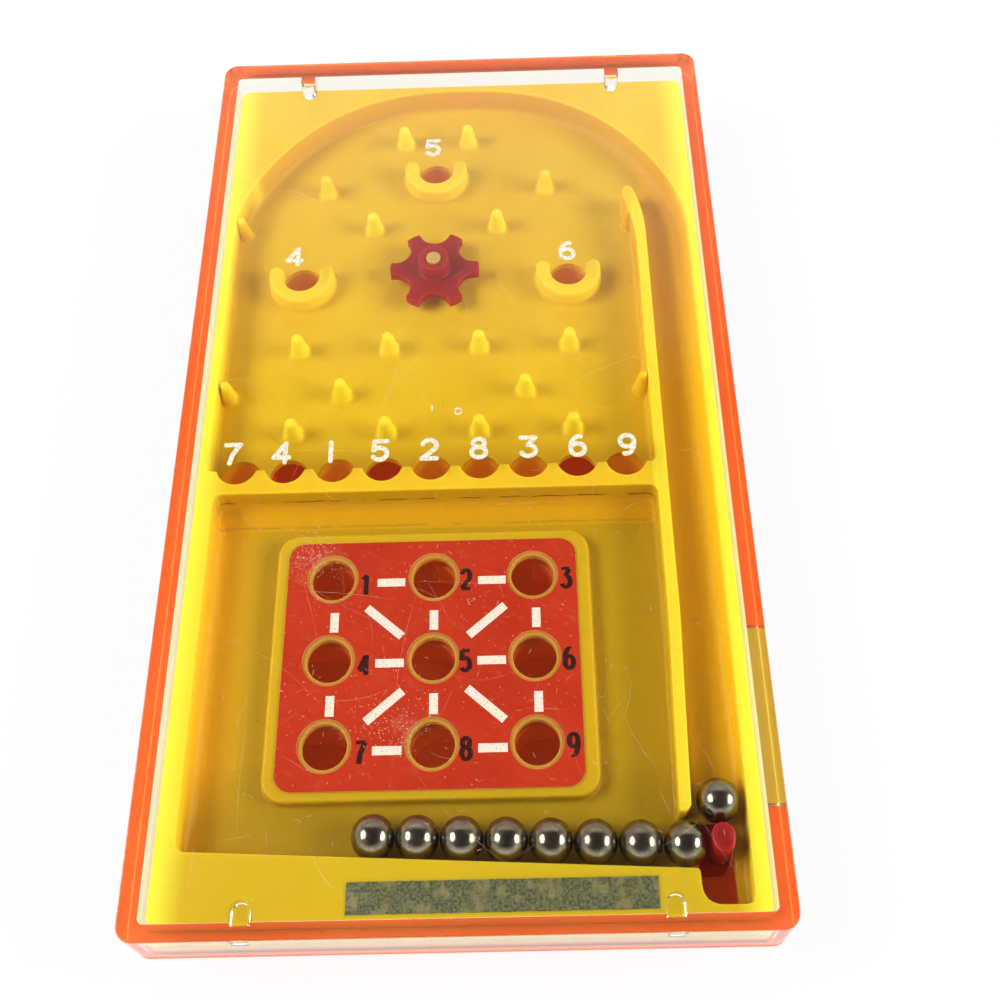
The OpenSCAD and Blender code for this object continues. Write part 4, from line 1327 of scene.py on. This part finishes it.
white_print, tree, shader = material("printed_white", IOR=1.5, Roughness=0.5, Specular_IOR_Level=0.2)
worn = add(tree, "MapRange", (noise(tree, 0.2, 2), 0.56, 0.7, 0, 0.8))
put(tree, shader.inputs["Base Color"], over(tree, "#ffeedc", worn, "#c89a78"))
print("inks are ready")

# %% [markdown]
# The balls are polished steel, dulled by handling: a faint smear in the gloss. The foil is dull
# grey-green with darker stains and paler rubbed patches that show the metal.

# %% Steel and foil
steel, tree, shader = material("polished_bearing_steel", Metallic=1.0)
smear = add(tree, "MapRange", (noise(tree, 1.2, 3), 0.35, 0.7))
put(tree, shader.inputs["Base Color"], over(tree, "#8f8878", smear, "#756e5e"))
put(tree, shader.inputs["Roughness"], add(tree, "MapRange", (smear, 0, 1, 0.14, 0.22)))

wire_steel, tree, shader = material("drawn_spring_wire", Metallic=1.0)
drawn = noise(tree, 0.15, 2, (1, 6, 1))
put(tree, shader.inputs["Base Color"], over(tree, "#c0bdb8", drawn, "#8f8c88"))
put(tree, shader.inputs["Roughness"], add(tree, "MapRange", (drawn, 0, 1, 0.2, 0.4)))

foil_skin, tree, shader = material("worn_grey_green_foil", Metallic=0.35)
stain = add(tree, "MapRange", (noise(tree, 0.3, 4), 0.38, 0.62))
colour = over(tree, "#70734c", stain, "#3c3e24")
bare = add(tree, "MapRange", (noise(tree, 1.1, 3, (1, 1.3, 1)), 0.5, 0.64, 0, 0.62))
put(tree, shader.inputs["Base Color"], over(tree, colour, bare, "#988c5a"))
put(tree, shader.inputs["Roughness"], add(tree, "MapRange", (bare, 0, 1, 0.55, 0.35)))
creases = add(tree, "Bump", {"Height": noise(tree, 0.6, 3), "Distance": 0.03*MM, "Strength": 1})
put(tree, shader.inputs["Normal"], creases)
print("metals are ready")

# %% [markdown]
# ## Dress the pieces
#
# Each piece gets its material, rides on its body, and stands for its CAD node.

# %% Put everything on its body
dress(tray, yellow, "case", "tray", "tray")
dress(base, red, "case", "base", "base")
dress(lid, clear, "case", "cover", "cover")
dress(figures, frosted, "case", "cover")
dress(hair, scratch, "case", "cover")
dress(label, print_red, "case", "target_label", "target_label")
dress(black_ink, black_print, "case", "target_label")
dress(white_ink, white_print, "case", "target_label")
dress(foil, foil_skin, "case", "foil_strip", "foil_strip")
dress(axle, pale, "case", "spinner_axle", "spinner_axle")
dress(spinner, star_red, "spinner", "spinner", "spinner")
dress(plunger, slider_red, "plunger", "plunger", "plunger")
dress(spring, wire_steel, "case", "spring", "plunger_spring")
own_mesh(spring)
for i, ball in enumerate(balls, 1):
    dress(ball, steel, f"ball_{i}", "ball", f"ball_{i}")

# %% [markdown]
# ## Floor, light and camera
#
# The floor is white to the eye and to mirrors, and it keeps a little of the object's shadow. Two soft
# lamps hang on the left and the right, and a grey room fills the rest, darker overhead so that the window
# mirrors nothing of it in its near half.

# %% Lay the floor
FLOOR_SIDE = 4.0
half = FLOOR_SIDE/2
floor_mesh = bpy.data.meshes.new("floor")
floor_mesh.from_pydata([(-half, -half, 0), (half, -half, 0), (half, half, 0), (-half, half, 0)], [],
                       [(0, 1, 2, 3)])
ground = bpy.data.objects.new("floor", floor_mesh)
bpy.context.scene.collection.objects.link(ground)
paper, tree, shader = material("white_paper", Base_Color=srgb("#e8e8e6"), Roughness=0.9)
white_light = add(tree, "Emission", {"Color": (1, 1, 1, 1), "Strength": 1.0})
path_kind = add(tree, "LightPath").outputs
seen = path_kind["Is Camera Ray"]
for kind in ("Is Glossy Ray", "Is Transmission Ray"):
    seen = add(tree, "Math", (seen, path_kind[kind]), operation="MAXIMUM")
both = add(tree, "MixShader", (product(tree, seen, 0.92), shader, white_light))
put(tree, tree.nodes["Material Output"].inputs["Surface"], both)
ground.data.materials.append(paper)
print("floor of", FLOOR_SIDE, "m")

# %% [markdown]
# The room is a plain white light whose strength changes with the direction. Its directions are unit
# vectors: Y is 1 straight behind the object, and Z is 1 overhead.

# %% Build the room's light
world = bpy.data.worlds.new("room")
bpy.context.scene.world = world
world.use_nodes = True
tree = world.node_tree
sky = tree.nodes["Background"]
parts = add(tree, "SeparateXYZ", {0: add(tree, "TexCoord").outputs["Generated"]}).outputs
depth, height = parts["Y"], parts["Z"]
room = add(tree, "MapRange", (height, 0.35, 0.75, 0.45, 0.05))

# Each wall is a ramp of depth, a ramp of height and a strength: high behind, before the object, low behind.
for in_depth, in_height, strength in (((0.5, 0.7), (0.3, 0.55), 1.1), ((-0.15, -0.6), (0.55, 0.3), 1.2),
                                      ((0.35, 0.7), (0.35, 0.15), 1.6)):
    wall = product(tree, add(tree, "MapRange", (depth, *in_depth)),
                   add(tree, "MapRange", (height, *in_height)), strength)
    room = add(tree, "Math", (room, wall), operation="ADD")
path_kind = add(tree, "LightPath").outputs
low = product(tree, path_kind["Is Transmission Ray"], add(tree, "MapRange", (height, 0.2, 0.1)))
seen = add(tree, "Math", (path_kind["Is Camera Ray"], low), operation="MAXIMUM")
put(tree, sky.inputs["Strength"], add(tree, "Mix", {0: seen, 2: room, 3: 1.0}, data_type="FLOAT"))
put(tree, sky.inputs["Color"], (1, 1, 1, 1))
print("the room is lit")

# %% Hang the lamps
LAMP_POWER, LAMP_AWAY = 3.9, 0.7
LAMP_WIDTH, LAMP_LENGTH = 0.3, 0.46
for name, way in (("lamp_left", (-0.77, -0.04, 0.75)), ("lamp_right", (0.82, -0.12, 0.5))):
    lamp = bpy.data.lights.new(name, "AREA")
    lamp.shape, lamp.size, lamp.size_y = "ELLIPSE", LAMP_WIDTH, LAMP_LENGTH
    lamp.energy = LAMP_POWER
    hung = bpy.data.objects.new(name, lamp)
    bpy.context.scene.collection.objects.link(hung)
    back = Vector(way).normalized()
    hung.location = back*LAMP_AWAY
    side = Vector((0, 1, 0)).cross(back).normalized()
    up = back.cross(side)
    hung.rotation_euler = Matrix((side, up, back)).transposed().to_euler()
print("two lamps,", LAMP_POWER, "W each")

# %% [markdown]
# The camera stands where the photograph was taken: its place, turn and lens were fitted to the corners
# of the lid.

# %% Camera
# The lens is for a sensor 36 mm wide. The place is in millimetres and the turn in radians.
LENS, SENSOR, SHIFT = 50.865, 36, -0.2
CAMERA_AT, CAMERA_TURN = (8.034, -87.193, 167.558), (0.599338, 0.026777, -0.014135)
view = bpy.data.cameras.new("camera")
view.lens, view.sensor_width, view.shift_y = LENS, SENSOR, SHIFT
view.clip_start, view.clip_end = 0.01, 10
camera = bpy.data.objects.new("camera", view)
bpy.context.scene.collection.objects.link(camera)
camera.location = Vector(CAMERA_AT)*MM
camera.rotation_euler = CAMERA_TURN
bpy.context.scene.camera = camera
bpy.context.scene.view_settings.view_transform = "Standard"
print("camera at", tuple(round(c, 4) for c in camera.location))
